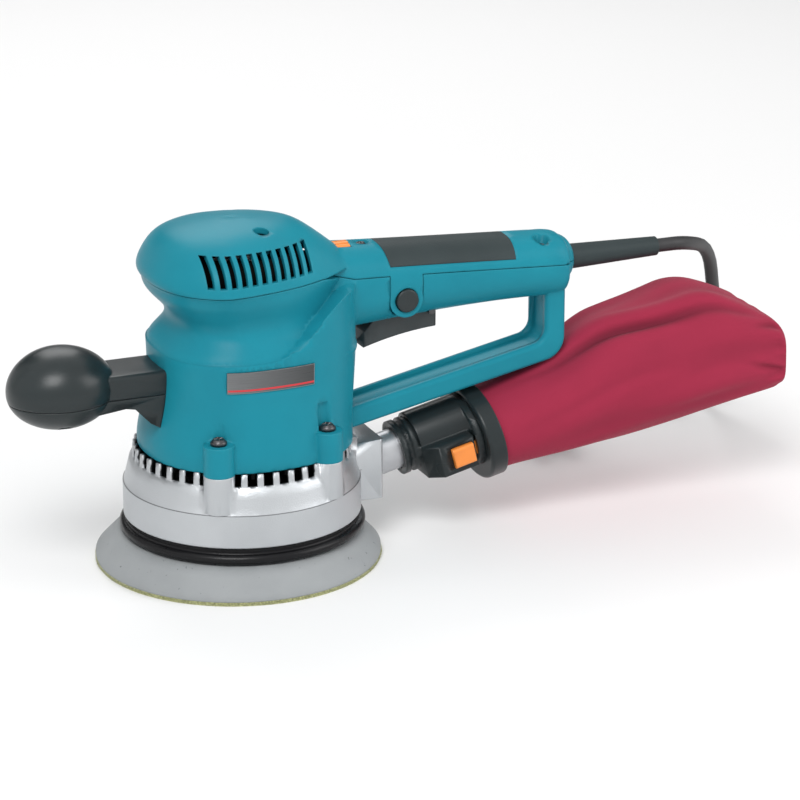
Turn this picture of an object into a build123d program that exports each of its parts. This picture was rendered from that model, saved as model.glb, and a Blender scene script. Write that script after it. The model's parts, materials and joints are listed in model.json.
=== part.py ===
"""Random orbital sander with a D-handle, a front knob and a cloth dust bag.

Millimetres. The origin is the foot of the motor axis, on the plane of the pad's working face.
+Z is up, +X points to the rear handle, and the front knob lies towards -X.
"""
import os
from math import atan2, cos, degrees, pi, radians, sin, tan

from build123d import *

# Clearances
running_gap = 0.05
seat_gap = 0.1
slip_gap = 0.3
seam_gap = 0.4
head_gap = 0.6

# How far a cutter passes what it cuts: a little inside a piece, more outside it, and past everything
through = 1.0
beyond = 20.0
far = 300.0

# Pad
pad_radius = 75.0
orbit_offset = 2.5
hook_thickness = 2.0
foam_rim_height = 2.5
foam_top_radius = 63.5
foam_thickness = 14.5
dust_hole_count = 6
dust_hole_circle_radius = 40.0
dust_hole_radius = 5.0
pad_centre_hole_radius = 9.0
plate_radius = 46.0
plate_thickness = 3.0
pad_bolt_head_radius = 6.5
pad_bolt_head_height = 6.0
pad_bolt_radius = 4.0
pad_bolt_length = 16.0
pad_bolt_key_radius = 2.9
pad_bolt_key_depth = 3.5
spindle_flange_radius = 17.0
spindle_flange_thickness = 3.5
spindle_collar = 1.5

# Bearings: outer radius, bore radius, width
shaft_radius = 6.0
large_bearing_radius = 14.0
large_bearing_width = 8.0
top_journal_radius = 4.0
small_bearing_radius = 11.0
small_bearing_width = 7.0
race_share = 0.26
shield_dish = 0.5
shaft_room = 2.5

# Eccentric hub, balance weight and dust fan
hub_wall = 4.5
hub_roof = 2.0
hub_socket_depth = 6.0
hub_neck_radius = 15.0
hub_foot_gap = 1.0
hub_end_gap = 0.5
weight_reach = 33.0
weight_thickness = 8.0
weight_half_angle = 62.0
dust_fan_radius = 52.0
fan_disc_thickness = 2.0
dust_blade_height = 11.0
dust_blade_root = 36.0
dust_blade_count = 12
blade_thickness = 1.8
dust_blade_lean = -22.0
dust_blade_inset = 1.5

# Motor housing and cover: the heights of their main levels, and the sizes at each
ridge_height = 119.0
ridge_sweep = 28.0
ridge_sweep_start = -6.0
ridge_sweep_end = 50.0
ridge_end_run = 30.0
ridge_end_rise = 4.0
rim_height = 155.3
waist_height = rim_height - 23.8
crown_height = rim_height + 28.2
crown_x = -2.0
flange_front = 53.5
flange_rear = 57.5
flange_half_width = 54.0
barrel_front = 46.5
barrel_rear = 59.0
barrel_half_width = 47.5
waist_front = 37.0
waist_half_width = 39.8
head_centre = -16.0
head_front = 33.8
head_rear = 79.0
head_half_width = 49.2
cover_wall = 3.0
cover_hollow_stop = 4.0

# Base casting
base_bottom = 26.0
base_radius = 62.4
base_step_height = 43.0
base_step_in = 0.7
base_step_rise = 0.6
base_shoulder_radius = 58.8
base_shoulder_height = 55.0
vent_height = 8.5
flange_height = base_shoulder_height + vent_height
vent_recess = 1.6
vent_lean = 0.6
vent_lip = 1.0
base_wall = 4.0
base_web_bottom = 47.0
base_web_thickness = 3.5
base_hub_wall = 5.0
base_hub_rise = 1.5
bearing_seat_drop = 0.2
fin_pitch_angle = 8.3
fin_width = 3.3
outlet_half_width = 18.0
outlet_end = 73.0
outlet_top = 55.0
outlet_upper_tier_end = 58.0
outlet_upper_tier_drop = 1.5
outlet_edge_radius = 2.0
outlet_vent_gap = 4.0

# Housing screws and their bosses
boss_x = 29.5
boss_y = 47.5
boss_radius = 8.0
boss_height = 16.0
housing_screw_radius = 2.5
housing_screw_head_radius = 4.3
housing_screw_head_height = 3.4
housing_screw_length = 26.0
housing_screw_room = 14.0

# Rubber skirt between casting and pad
skirt_inner_radius = 57.0
skirt_bead_radius = 64.6
skirt_groove_radius = 61.0
skirt_pad_gap = 0.5
skirt_bead_share = 0.3
skirt_groove_rise = 0.8
skirt_land_reach = 1.2

# Motor
shaft_body_radius = 7.0
stator_radius = 36.0
stator_pole_radius = 23.1
stator_slot_radius = 31.0
stator_bottom = 86.0
stator_room_above = 27.0
pole_half_angle = 52.0
armature_radius = 22.5
winding_overhang = 7.5
armature_winding_radius = 20.5
armature_winding_round = 2.5
armature_slot_count = 12
armature_slot_depth = 7.0
armature_slot_half_width = 1.3
commutator_radius = 14.0
commutator_drop = 16.0
commutator_height = 15.0
riser_reach = 1.5
riser_height = 3.0
bracket_bottom = rim_height - 6.3
bracket_thickness = 3.5
bracket_cup_wall = 3.2
bracket_radius = 34.0
bracket_vent = (16.0, 32.0)
bracket_vent_half_width = 6.0
waist_room_radius = 32.0
stator_ledge = 3.0
stator_head_room = 1.0
field_gap = 0.6
field_gap_angle = 1.0
brush_length = 14.0
brush_half_width = 3.2
brush_half_height = 4.0
brush_axis_height = bracket_bottom - 8.0
holder_wall = 2.4
holder_length = 14.0
holder_bore_length = 12.0
holder_gap = 2.5
cooling_fan_radius = 46.0
cooling_fan_disc = flange_height + 2.5
cooling_blade_height = 9.5
cooling_blade_root = 28.0
cooling_blade_count = 15
cooling_fan_hub_radius = 12.0
cooling_fan_hub_height = 6.0
cooling_blade_lean = -18.0
fan_tip_gap = 2.0
fan_head_room = 9.0

# Rear handle
handle_start = 30.0
handle_end = 182.0
handle_half_width = 18.4
handle_top_front = rim_height + 8.6
handle_top_slope = -0.0575
handle_top_x = 46.0
handle_under_front = rim_height - 36.7
handle_cavity_half_width = 12.0
handle_cavity_end = 162.0
handle_cavity_floor = handle_under_front + 8.9
handle_cavity_roof = handle_top_front - 11.9
handle_cavity_fall = 5.0
collar_end = 187.5
collar_radius = 12.6
parting_slope = -0.0594
parting_drop_start = 34.0
parting_drop_end = 56.0
parting_drop = 6.2
parting_bend = 14.0

# D-loop
loop_half_width = 12.5
loop_bottom_start = 63.0
loop_bottom_x = 50.0
loop_bottom_slope = 0.2044
loop_bar_thickness = 11.6
loop_end = 181.2
loop_edge_radius = 2.6
loop_trough_depth = 2.2
loop_trough_half_width = 8.0
loop_corner_radius = 13.0
loop_inner_radius = 8.0
loop_root = 20.0
loop_head = 14.0
loop_window_root = 9.0
loop_window_head = 6.0
loop_trough_start = 3.0

# Saddle grip on the handle
grip_thickness = 1.8
grip_front = 73.0
grip_rear = 149.0
grip_edge_above_parting = 4.6
grip_front_rake = 4.0
grip_slant = 1.5

# Vent slots in the head
slot_count = 11
slot_first = -30.5
slot_pitch = 5.58
slot_width = 3.3
slot_bottom_share = 0.174
slot_top_share = 0.684
slot_core_half_width = 22.0

# Cover screws, in wells from above
well_radius = 4.0
cover_screw_head_radius = 3.4
cover_screw_head_height = 2.6
cover_screw_radius = 2.0
cover_screw_length = 8.0
dome_screw_x = 4.5
dome_screw_y = 22.0
dome_screw_seat = crown_height - 10.5
dome_well_floor = 3.0
dome_well_height = 6.5
dome_well_wall = 1.6
front_screw_x = 67.6
front_screw_seat = handle_top_front - 4.3
rear_screw_x = 167.3
rear_screw_y = 9.0
rear_screw_seat = handle_top_front - 14.4

# Nameplate
nameplate_length = 46.5
nameplate_height = 11.2
nameplate_bottom = 104.5
nameplate_depth = 0.7
nameplate_proud = 0.5

# Switch, trigger and lock button
trigger_pin_x = 103.5
trigger_pin_z = handle_under_front + 5.0
trigger_pin_radius = 1.75
trigger_front = 66.5
trigger_rear = 107.2
trigger_front_drop = handle_under_front - 12.1
trigger_rear_drop = handle_under_front - 5.0
trigger_curve_rise = 1.6
trigger_half_width = 7.5
trigger_roof = trigger_pin_z + 1.8
trigger_eye_wall = 1.7
trigger_eye_reach = 6.0
trigger_nose = 9.0
trigger_swing_room = 2.2
trigger_edge_radius = 1.6
trigger_low_share = 0.55
pin_bite = 4.0
switch_front = 78.0
switch_rear = 106.0
switch_half_width = 9.0
switch_bottom = handle_cavity_floor + 2.7
switch_top = handle_cavity_roof - 5.0
switch_chamfer = 1.2
cradle_thickness = 2.4
cradle_drop = 6.0
cradle_bite = 0.5
cradle_foot = 1.0
button_x = 85.5
button_z = handle_under_front + 15.4
button_radius = 6.2
button_face = 21.6
button_length = 5.4
button_edge_radius = 1.0
button_stem_radius = 3.0
button_travel = 2.5
tab_radius = 9.3
tab_rim_proud = 1.3
tab_rim_depth = 5.0
tab_inner_gap = 0.5

# Speed dial and controller
dial_radius = 10.5
dial_width = 8.0
dial_front = 51.8
dial_proud = 0.8
dial_pin_radius = 2.5
dial_rib_count = 20
dial_rib_depth = 0.5
dial_groove_half_width = 0.55
dial_pin_bite = 2.0
dial_window_half_width = 6.8
controller_half_width = 11.0
controller_bottom = handle_cavity_floor + 4.5
controller_top = handle_cavity_roof - 2.5
controller_riser_half_width = 5.0
controller_riser_depth = 4.0
controller_riser_root = 2.0

# Front knob
knob_centre_x = -97.0
knob_centre_z = 104.5
knob_half_length = 28.0
knob_half_width = 24.5
knob_half_height = 21.0
knob_seam_height = 98.5
knob_tip_drop = 1.5
knob_power = 2.1
neck_half_width = 15.5
neck_top = 111.0
saddle_bottom = 81.0
neck_underside = 93.5
neck_start = 12.0
neck_edge_radius = 2.5
grip_bolt_radius = 3.0
grip_bolt_head_radius = 5.0
grip_bolt_head_height = 5.0
grip_bolt_length = 20.0
grip_bolt_head_x = -58.0
grip_bolt_room = 8.0
grip_bolt_key_radius = 2.4
grip_bolt_key_depth = 2.5
grip_screw_radius = 2.0
grip_screw_head_radius = 3.6
grip_screw_length = 16.0
grip_screw_x = -99.0
grip_screw_y = 12.0
grip_screw_seat = 90.0
grip_screw_head_height = 2.6
grip_screw_head_gap = 0.4

# Dust outlet, in a frame tilted up along the nozzle's axis
nozzle_pitch = 13.4
nozzle_x = 82.0
nozzle_z = 44.8
nozzle_radius = 11.0
nozzle_bore_radius = 9.0
nozzle_inner_end = -17.0
nozzle_outer_end = 22.0
socket_start = 5.0
socket_radius = 13.2
socket_ring_radius = 15.0
socket_ring_width = 3.0
connector_radius = 16.5
connector_body_start = 15.0
connector_end = 42.5
connector_flange_thickness = 4.0
connector_flange_half_width = 25.0
connector_flange_half_height = 20.0
latch_house_front = 14.0
latch_house_rear = 41.0
latch_house_reach = 24.5
latch_house_top = 2.0
latch_house_bottom = -15.5
latch_house_slant = 7.0
latch_middle = 33.5
latch_length = 12.0
latch_height = 11.0
latch_proud = 2.6
latch_depth = 7.0
latch_travel = 3.0
latch_arm_thickness = 2.0
latch_arm_height = 7.0
latch_arm_root = 4.0
latch_edge_radius = 1.5
frame_depth = 9.5
frame_drop = 7.0
frame_half_width = 31.0
frame_half_height = 26.0
frame_wall = 3.0
frame_plate = 3.0
frame_edge_radius = 2.0
flange_drop_share = 0.6

# Dust bag: heights where it leaves the handle, where it is fullest, and at its end
bag_waist_x = 178.0
bag_waist_z = 58.8
bag_waist_half_height = 26.4
bag_swell_x = 208.0
bag_swell_z = 69.5
bag_swell_half_height = 33.5
bag_full_x = 256.0
bag_full_z = 79.0
bag_full_half_height = 36.0
bag_end = 310.0
bag_end_height = 83.0
bag_end_half_width = 40.5
bag_end_half_height = 23.5

# Cord, guard, coil and plug
cord_diameter = 7.5
cord_inner_end = 150.0
cord_axis_height = handle_under_front + 22.2
guard_flange_radius = 9.0
guard_flange_thickness = 3.0
guard_flange_x = 176.0
guard_root_radius = 6.8
guard_tip_radius = 5.2
guard_end = 240.0
clamp_length = 8.0
clamp_start = 2.0
lead_room = 1.5
tie_thickness = 1.3
tie_width = 11.0
tie_angle = -50.0
cord_floor_run = 43.0
coil_pitch = 8.15
coil_layer_rise = 8.1
coil_dip = 1.0
coil_mid_radius = 45.0
coil_turns_per_layer = 3.0
coil_centre = (275.0, 164.0)
coil_tail = 38.0
coil_start_angle = 0.0
plug_length = 38.0
plug_half_width = 17.5
plug_pin_radius = 2.4
plug_pin_length = 19.0
plug_pin_spacing = 19.0
plug_pin_round = 1.4
plug_neck_wall = 2.0
plug_drop = 1.0
cord_bends = [(258, 0, cord_axis_height), (292, 34, 126), (312, 64, 86), (329, 84, 44)]
cord_bend_share = 0.45


# Shape helpers


def turned(points, centre_x=0.0):
    """A solid of revolution about a vertical axis, from (radius, height) corners."""
    face = make_face(Plane.XZ * Polyline(*points, close=True))
    return Pos(centre_x, 0, 0) * revolve(face, Axis.Z)


def ring(outer, inner, low, high, centre_x=0.0):
    corners = [(inner, low), (outer, low), (outer, high), (inner, high)]
    return turned(corners, centre_x)


def post(radius, low, high, x=0.0, y=0.0):
    upright = Cylinder(radius, high - low, align=(Align.CENTER, Align.CENTER, Align.MIN))
    return Pos(x, y, low) * upright


def bar_x(radius, start, end, y=0.0, z=0.0):
    """A round bar along X."""
    lying = Rot(0, 90, 0) * Cylinder(radius, end - start)
    return Pos((start + end) / 2, y, z) * lying


def bar_y(radius, start, end, x=0.0, z=0.0):
    """A round bar along Y."""
    lying = Rot(90, 0, 0) * Cylinder(radius, end - start)
    return Pos(x, (start + end) / 2, z) * lying


def block(x_range, y_range, z_range):
    sizes = [b - a for a, b in (x_range, y_range, z_range)]
    middle = [(a + b) / 2 for a, b in (x_range, y_range, z_range)]
    return Pos(*middle) * Box(*sizes)


def side_plate(points, y_range):
    """A prism along Y from (x, z) corners."""
    face = make_face(Plane.XZ * Polyline(*points, close=True))
    return Pos(0, y_range[1], 0) * extrude(face, y_range[1] - y_range[0], dir=(0, -1, 0))


def oval_points(front, rear, half_width, front_power, rear_power, count=16):
    """Points of an egg: two superellipses, joined where they are widest."""
    points = []
    for k in range(count):
        c = cos(2 * pi * k / count)
        s = sin(2 * pi * k / count)
        reach, power = (rear, rear_power) if c >= 0 else (front, front_power)
        stretch = (abs(c) ** power + abs(s) ** power) ** (-1 / power)
        points.append((reach * stretch * c, half_width * stretch * s))
    return points


def closed_curve(points):
    """A smooth closed curve, with its points evenly spaced along its parameter."""
    spacing = [k / len(points) for k in range(len(points) + 1)]
    return Wire([Edge.make_spline(points, periodic=True, parameters=spacing)])


def level_curve(level, grow=0.0):
    """A horizontal section of the head or barrel as a closed curve."""
    height, centre, front, rear, half_width, front_power, rear_power = level
    outline = oval_points(front + grow, rear + grow, half_width + grow, front_power, rear_power)
    return closed_curve([(x + centre, y, height) for x, y in outline])


def station_curve(x, half_width, top, under, power):
    """A cross-section of the handle or knob, square to X."""
    middle = (top + under) / 2
    half_height = (top - under) / 2
    outline = oval_points(half_height, half_height, half_width, power, power)
    return closed_curve([(x, y, middle + z) for z, y in outline])


# Motor housing and upper cover: the outer form that they share. Each level gives its height, its
# centre along X, its reach to the front and to the rear, its half width, and the powers of its
# front and rear curves. The dome's heights are shares of its rise.

barrel_rise = ridge_height - flange_height
neck_rise = waist_height - ridge_height
flare_rise = rim_height - waist_height
dome_rise = crown_height - rim_height

lower_swell = flange_height + 0.225 * barrel_rise
upper_swell = flange_height + 0.477 * barrel_rise
barrel_level = flange_height + 0.784 * barrel_rise
lower_sweep = ridge_height + 0.214 * ridge_sweep
upper_sweep = ridge_height + 1.036 * ridge_sweep
neck_level = ridge_height + 0.52 * neck_rise
lower_flare = waist_height + 0.378 * flare_rise
upper_flare = waist_height + 0.756 * flare_rise

barrel_levels = [
    (flange_height, 0, flange_front, flange_rear, flange_half_width, 2.2, 2.2),
    (lower_swell, 0, flange_front - 1.5, flange_rear, flange_half_width - 1.5, 2.25, 2.25),
    (upper_swell, 0, barrel_front + 2, barrel_rear - 1, barrel_half_width + 1.3, 2.4, 2.4),
    (barrel_level, 0, barrel_front, barrel_rear, barrel_half_width, 2.5, 2.5),
    (lower_sweep, 0, barrel_front + 0.5, barrel_rear, barrel_half_width + 1, 2.5, 2.5),
    (upper_sweep, 0, barrel_front + 0.5, barrel_rear, barrel_half_width + 1, 2.5, 2.5),
]
waist_levels = [
    (ridge_height - 9, 0, barrel_front - 2, barrel_rear - 2, barrel_half_width - 2, 2.5, 2.5),
    (ridge_height, 0, barrel_front - 0.4, barrel_rear - 1, barrel_half_width - 0.4, 2.5, 2.5),
    (neck_level, -2, barrel_front - 7, barrel_rear - 2, waist_half_width + 3.4, 2.45, 2.45),
    (waist_height, -4, waist_front - 4, barrel_rear - 1, waist_half_width, 2.4, 2.4),
    (lower_flare, -8, waist_front - 5, barrel_rear + 1, waist_half_width + 1.2, 2.4, 2.2),
    (upper_flare, -13, head_front + 0.8, head_rear - 11, head_half_width - 3, 2.3, 1.9),
    (rim_height, head_centre, head_front, head_rear, head_half_width, 2.2, 1.65),
]
head_levels = [
    (0.0, head_centre, head_front, head_rear, head_half_width, 2.2, 1.65),
    (0.273, -15.5, head_front, head_rear - 10.5, head_half_width - 1.6, 2.2, 1.75),
    (0.521, -14.5, head_front - 3, head_rear - 20, head_half_width - 5.7, 2.2, 1.85),
    (0.734, -12.0, head_front - 6, head_rear - 30.5, head_half_width - 13.2, 2.2, 2.0),
    (0.887, -8.0, head_front - 11.8, head_rear - 42.5, head_half_width - 23.2, 2.1, 2.0),
    (0.972, -4.0, head_front - 21.3, head_rear - 60, head_half_width - 35.2, 2.1, 2.0),
]


def barrel(grow=0.0):
    """The swelling lower body, carried past its ridge."""
    return Solid.make_loft([level_curve(level, grow) for level in barrel_levels])


def waist():
    """The drawn-in neck between the barrel's ridge and the rim under the head."""
    return Solid.make_loft([level_curve(level) for level in waist_levels])


def below_ridge():
    """A prism whose upper edge is the ridge: level at the front, sweeping up to the handle."""
    front = -barrel_front - beyond
    rear = barrel_rear + ridge_end_run
    top = ridge_height + ridge_sweep
    start = (ridge_sweep_start, ridge_height)
    end = (ridge_sweep_end, top)
    rise = (1, ridge_end_rise / ridge_end_run)
    ridge = Polyline((front, ridge_height), start)
    ridge += Spline(start, end, tangents=[(1, 0), rise])
    ridge += Polyline(end, (rear, top + ridge_end_rise), (rear, 0), (front, 0), (front, ridge_height))
    return extrude(make_face(Plane.XZ * ridge), flange_half_width + beyond, both=True)


def body_form():
    return (barrel() & below_ridge()) + waist()


def head(shrink=0.0):
    """The dome; shrunk, it is the hollow under it."""
    rise = dome_rise - shrink
    levels = [(rim_height + share * rise, *rest) for share, *rest in head_levels]
    curves = [level_curve(level, -shrink) for level in levels]
    return Solid.make_loft(curves + [Vertex(crown_x, 0, rim_height + rise)])


def handle_top(x):
    return handle_top_front + handle_top_slope * (x - handle_top_x)


def handle(shrink=0.0):
    """The bare handle, before the collar: widest where it leaves the head, rounded off at its end."""
    wide = handle_half_width
    under = handle_under_front
    tail = handle_end - 8
    # Each station: x, half width, top, underside and the power of its curve.
    stations = [
        (handle_start, wide + 6.6, handle_top(handle_start), under - 2, 2.5),
        (66.0, wide + 2.8, handle_top(66.0), under + 0.9, 2.4),
        (102.0, wide + 0.8, handle_top(102.0), under + 3.0, 2.4),
        (138.0, wide, handle_top(138.0), under + 4.2, 2.4),
        (tail, wide - 0.3, handle_top(tail), under + 3.6, 2.4),
    ]
    ending = [
        stations[-1],
        (tail + 4, wide - 0.7, handle_top(tail) - 0.7, under + 3.9, 2.4),
        (tail + 7, wide - 2.0, handle_top(tail) - 2.2, under + 5.0, 2.4),
        (handle_end, wide - 3.6, handle_top(tail) - 4.0, under + 6.6, 2.4),
    ]
    return smooth_bar(stations, shrink) + smooth_bar(ending, shrink)


def smooth_bar(stations, shrink):
    curves = []
    for x, half_width, top, under, power in stations:
        curves.append(station_curve(x, half_width - shrink, top - shrink, under + shrink, power))
    return Solid.make_loft(curves)


def collar():
    """The rounded end of the handle, which holds the cord guard."""
    reach = collar_end - handle_end
    # How far along, and how much smaller the collar is there.
    shrink_along = ((-6.0, 0.0), (reach * 0.2, 0.1), (reach * 0.7, 2.2), (reach, 4.8))
    curves = []
    for along, less in shrink_along:
        r = collar_radius - less
        top = cord_axis_height + r
        under = cord_axis_height - r
        curves.append(station_curve(handle_end + along, r, top, under, 2.0))
    return Solid.make_loft(curves)


def loop_under(x):
    return loop_bottom_start + loop_bottom_slope * (x - loop_bottom_x)


def loop_window(grow=0.0):
    """The opening as a face, grown into the lower bar and the rear bar."""
    rear = loop_end - loop_bar_thickness
    front = barrel_rear + loop_trough_start if grow else barrel_rear - loop_window_root
    top = trigger_pin_z + loop_window_head
    corners = [
        (front, loop_under(front) + loop_bar_thickness - grow),
        (rear + grow, loop_under(rear) + loop_bar_thickness - grow),
        (rear + grow, top),
        (front, top),
    ]
    face = make_face(Plane.XZ * Polyline(*corners, close=True))
    low_rear = face.vertices().sort_by(Axis.X)[-2:].sort_by(Axis.Z)[0]
    return fillet(low_rear, loop_inner_radius)


def loop():
    """The D-loop under the handle: a lower bar and a rear bar with a channelled inner face."""
    front = barrel_rear - loop_root
    top = trigger_pin_z + loop_head
    corners = [
        (front, loop_under(front)),
        (loop_end, loop_under(loop_end)),
        (loop_end, top),
        (front, top),
    ]
    outer = make_face(Plane.XZ * Polyline(*corners, close=True))
    outer = fillet(outer.vertices().sort_by(Axis.X)[-2:].sort_by(Axis.Z)[0], loop_corner_radius)
    body = extrude(outer - loop_window(), loop_half_width, both=True)
    sides = body.faces().sort_by(Axis.Y)
    body = fillet(sides[0].edges() + sides[-1].edges(), loop_edge_radius)
    trough = extrude(loop_window(loop_trough_depth), loop_trough_half_width, both=True)
    return body - trough


def parting_line(offset):
    """(x, z) points of the joint between cover and housing, front to rear."""
    high = rim_height + offset
    low = high - parting_drop
    rear = collar_end + beyond
    return [
        (head_centre - head_front - beyond, high),
        (parting_drop_start, high),
        (parting_drop_end, low),
        (rear, low + parting_slope * (rear - parting_drop_end)),
    ]


def below_parting(offset):
    """Everything under the joint, as one prism."""
    line = FilletPolyline(*parting_line(offset), radius=parting_bend)
    first = line @ 0
    last = line @ 1
    path = Plane.XZ * (line + Polyline((last.X, last.Y), (last.X, 0), (first.X, 0), (first.X, first.Y)))
    return extrude(make_face(path), head_half_width + beyond, both=True)


def tab_prism(grow, inner):
    """The U-shaped tab of the cover round the lock button, on the near side."""
    r = tab_radius + grow
    reach = (-handle_half_width - beyond, inner)
    top = rim_height - parting_drop
    upright = block((button_x - r, button_x + r), reach, (button_z, top))
    return upright + bar_y(r, *reach, x=button_x, z=button_z)


def handle_cavity():
    corners = [
        (handle_start, handle_cavity_floor),
        (handle_cavity_end, handle_cavity_floor),
        (handle_cavity_end, handle_cavity_roof - handle_cavity_fall),
        (handle_start, handle_cavity_roof),
    ]
    half = handle_cavity_half_width
    return side_plate(corners, (-half, half))


def dial_room(gap):
    """Space for the thumb-wheel and its post, with the wheel's window in the cover."""
    ends = (dial_front - gap, dial_front + dial_width + gap)
    room = bar_x(dial_radius + gap, *ends, z=dial_axis_height)
    window = (-dial_window_half_width, dial_window_half_width)
    room += block(ends, window, (dial_axis_height, dial_axis_height + 2 * dial_radius))
    return room + controller_riser(gap)


def controller_riser(gap):
    """The post of the speed controller that carries the dial's pin."""
    start = dial_front + dial_width + slip_gap
    half = controller_riser_half_width + gap
    span = (start - gap, start + controller_riser_depth + gap)
    return block(span, (-half, half), (controller_top - controller_riser_root, dial_axis_height + half))


dial_axis_height = handle_top(dial_front + dial_width / 2) + dial_proud - dial_radius
cradle_front = switch_front - seat_gap - cradle_thickness
cradle_rear = switch_rear + seat_gap
guard_groove = (guard_flange_x - seat_gap, guard_flange_x + guard_flange_thickness + seat_gap)
cord_radius = cord_diameter / 2


def guard_room():
    """The groove and bore that hold the cord guard between the two mouldings."""
    groove = bar_x(guard_flange_radius + seat_gap, *guard_groove, z=cord_axis_height)
    bore = bar_x(guard_root_radius + seat_gap, guard_flange_x, collar_end + beyond, z=cord_axis_height)
    lead_ends = (handle_cavity_end - through, guard_flange_x + through)
    lead = bar_x(cord_radius + lead_room, *lead_ends, z=cord_axis_height)
    return groove + bore + lead


def cover_wells():
    """(x, y, seat height) of each cover screw."""
    wells = [(dome_screw_x, side * dome_screw_y, dome_screw_seat) for side in (-1, 1)]
    wells += [(rear_screw_x, side * rear_screw_y, rear_screw_seat) for side in (-1, 1)]
    wells.append((front_screw_x, 0.0, front_screw_seat))
    return wells


def boss_places():
    return [(sx * boss_x, sy * boss_y) for sx in (-1, 1) for sy in (-1, 1)]


stator_height = bracket_bottom - stator_room_above - stator_bottom
commutator_bottom = bracket_bottom - commutator_drop
motor_room_radius = stator_radius + seat_gap
fan_room_radius = cooling_fan_radius + fan_tip_gap
pin_half_length = trigger_half_width + pin_bite


def motor_room():
    """The stepped bore for fan, stator, brushes and bearing bracket."""
    low = flange_height - through
    fan_top = cooling_fan_disc + fan_head_room
    ledge_radius = stator_radius - stator_ledge
    stator_top = stator_bottom + stator_height
    corners = [
        (0, low),
        (fan_room_radius, low),
        (fan_room_radius, fan_top),
        (ledge_radius, fan_top),
        (ledge_radius, stator_bottom),
        (motor_room_radius, stator_bottom),
        (motor_room_radius, stator_top + stator_head_room),
        (waist_room_radius, stator_top + winding_overhang),
        (waist_room_radius, bracket_bottom),
        (bracket_radius + seat_gap, bracket_bottom),
        (bracket_radius + seat_gap, rim_height + through),
        (0, rim_height + through),
    ]
    return turned(corners)


def motor_housing(form, loop_form):
    """The moulded body: barrel, waist, lower half of the handle and the D-loop in one piece."""
    seat = flange_height + boss_height
    bosses = [post(boss_radius, flange_height, seat, x, y) for x, y in boss_places()]
    shell = form + loop_form + bosses
    shell &= below_parting(-seam_gap / 2)
    slot = (trigger_front - trigger_swing_room, trigger_rear + 2 * slip_gap)
    half = trigger_half_width + slip_gap
    bolt_tip = grip_bolt_head_x + grip_bolt_length
    cuts = [
        motor_room(),
        handle_cavity(),
        dial_room(slip_gap),
        tab_prism(seam_gap, -handle_cavity_half_width + through),
        guard_room(),
        block(slot, (-half, half), (trigger_front_drop, handle_cavity_floor + through)),
        bar_x(grip_bolt_radius + seat_gap, grip_bolt_head_x, bolt_tip + slip_gap, z=knob_centre_z),
        nameplate_seat(),
        block((-far, far), (-far, far), (0, flange_height)),
    ]
    for x, y in boss_places():
        ends = (flange_height - through, seat + through)
        cuts.append(post(housing_screw_radius + seat_gap, *ends, x, y))
        cuts.append(post(housing_screw_head_radius + head_gap, seat, seat + housing_screw_room, x, y))
    for x, y, seat_z in cover_wells():
        hole_end = seat_z - cover_screw_length - through
        cuts.append(post(cover_screw_radius + seat_gap, hole_end, seat_z, x, y))
    shell = shell - cuts + switch_cradle()
    pin_ends = (-pin_half_length, pin_half_length)
    return shell - bar_y(trigger_pin_radius + seat_gap, *pin_ends, trigger_pin_x, trigger_pin_z)


def switch_cradle():
    """Two ribs across the handle that hold the switch between them."""
    half = handle_cavity_half_width + cradle_bite
    heights = (switch_bottom - cradle_foot, switch_top - cradle_drop)
    ribs = []
    for start in (cradle_front, cradle_rear):
        ribs.append(block((start, start + cradle_thickness), (-half, half), heights))
    return ribs


def grip_region(grow):
    """The XZ outline of the saddle grip, as a prism across the handle."""
    edge = rim_height - parting_drop + grip_edge_above_parting - grow
    front_edge = edge + parting_slope * (grip_front + grip_front_rake - parting_drop_end)
    rear_edge = edge + parting_slope * (grip_rear - parting_drop_end)
    top = handle_top_front + beyond
    corners = [
        (grip_front - grip_slant - grow, top),
        (grip_front + grip_front_rake - grow, front_edge),
        (grip_rear + grow, rear_edge),
        (grip_rear + grip_slant + grow, top),
    ]
    half = handle_half_width + beyond
    return side_plate(corners, (-half, half))


def upper_cover(form, handle_form):
    """The top moulding: dome, upper half of the handle and the tab round the lock button."""
    face = -handle_half_width - tab_rim_proud
    rim = bar_y(tab_radius, face, face + tab_rim_depth, button_x, button_z)
    tab = handle_form & tab_prism(0.0, -handle_cavity_half_width - tab_inner_gap)
    shell = form - below_parting(seam_gap / 2) + tab + rim
    hollow_x = (-far, dial_front - cover_hollow_stop)
    hollow = head(cover_wall) & block(hollow_x, (-far, far), (rim_height - through, crown_height))
    core = block((-far, far), (-slot_core_half_width, slot_core_half_width), (0, far))
    cuts = [
        hollow,
        motor_room(),
        handle_cavity(),
        dial_room(slip_gap),
        guard_room(),
        bar_y(button_radius + slip_gap, face - through, 0, button_x, button_z),
        grip_region(seat_gap) - handle(grip_thickness + seat_gap),
    ]
    slot_z = (rim_height + slot_bottom_share * dome_rise, rim_height + slot_top_share * dome_rise)
    for k in range(slot_count):
        x = slot_first + k * slot_pitch
        slot = block((x - slot_width / 2, x + slot_width / 2), (-far, far), slot_z)
        cuts.append(slot - core)
    seats = []
    for side in (-1, 1):
        foot = dome_screw_seat - dome_well_floor
        ends = (foot, foot + dome_well_height)
        seats.append(post(well_radius + dome_well_wall, *ends, dome_screw_x, side * dome_screw_y))
    holes = []
    for x, y, seat_z in cover_wells():
        holes.append(post(well_radius, seat_z, crown_height + beyond, x, y))
        hole_ends = (seat_z - cover_screw_length - through, seat_z + through)
        holes.append(post(cover_screw_radius + seat_gap, *hole_ends, x, y))
    return shell - cuts + seats - holes


def handle_grip(handle_form):
    return (grip_region(0.0) & handle_form) - handle(grip_thickness)


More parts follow.
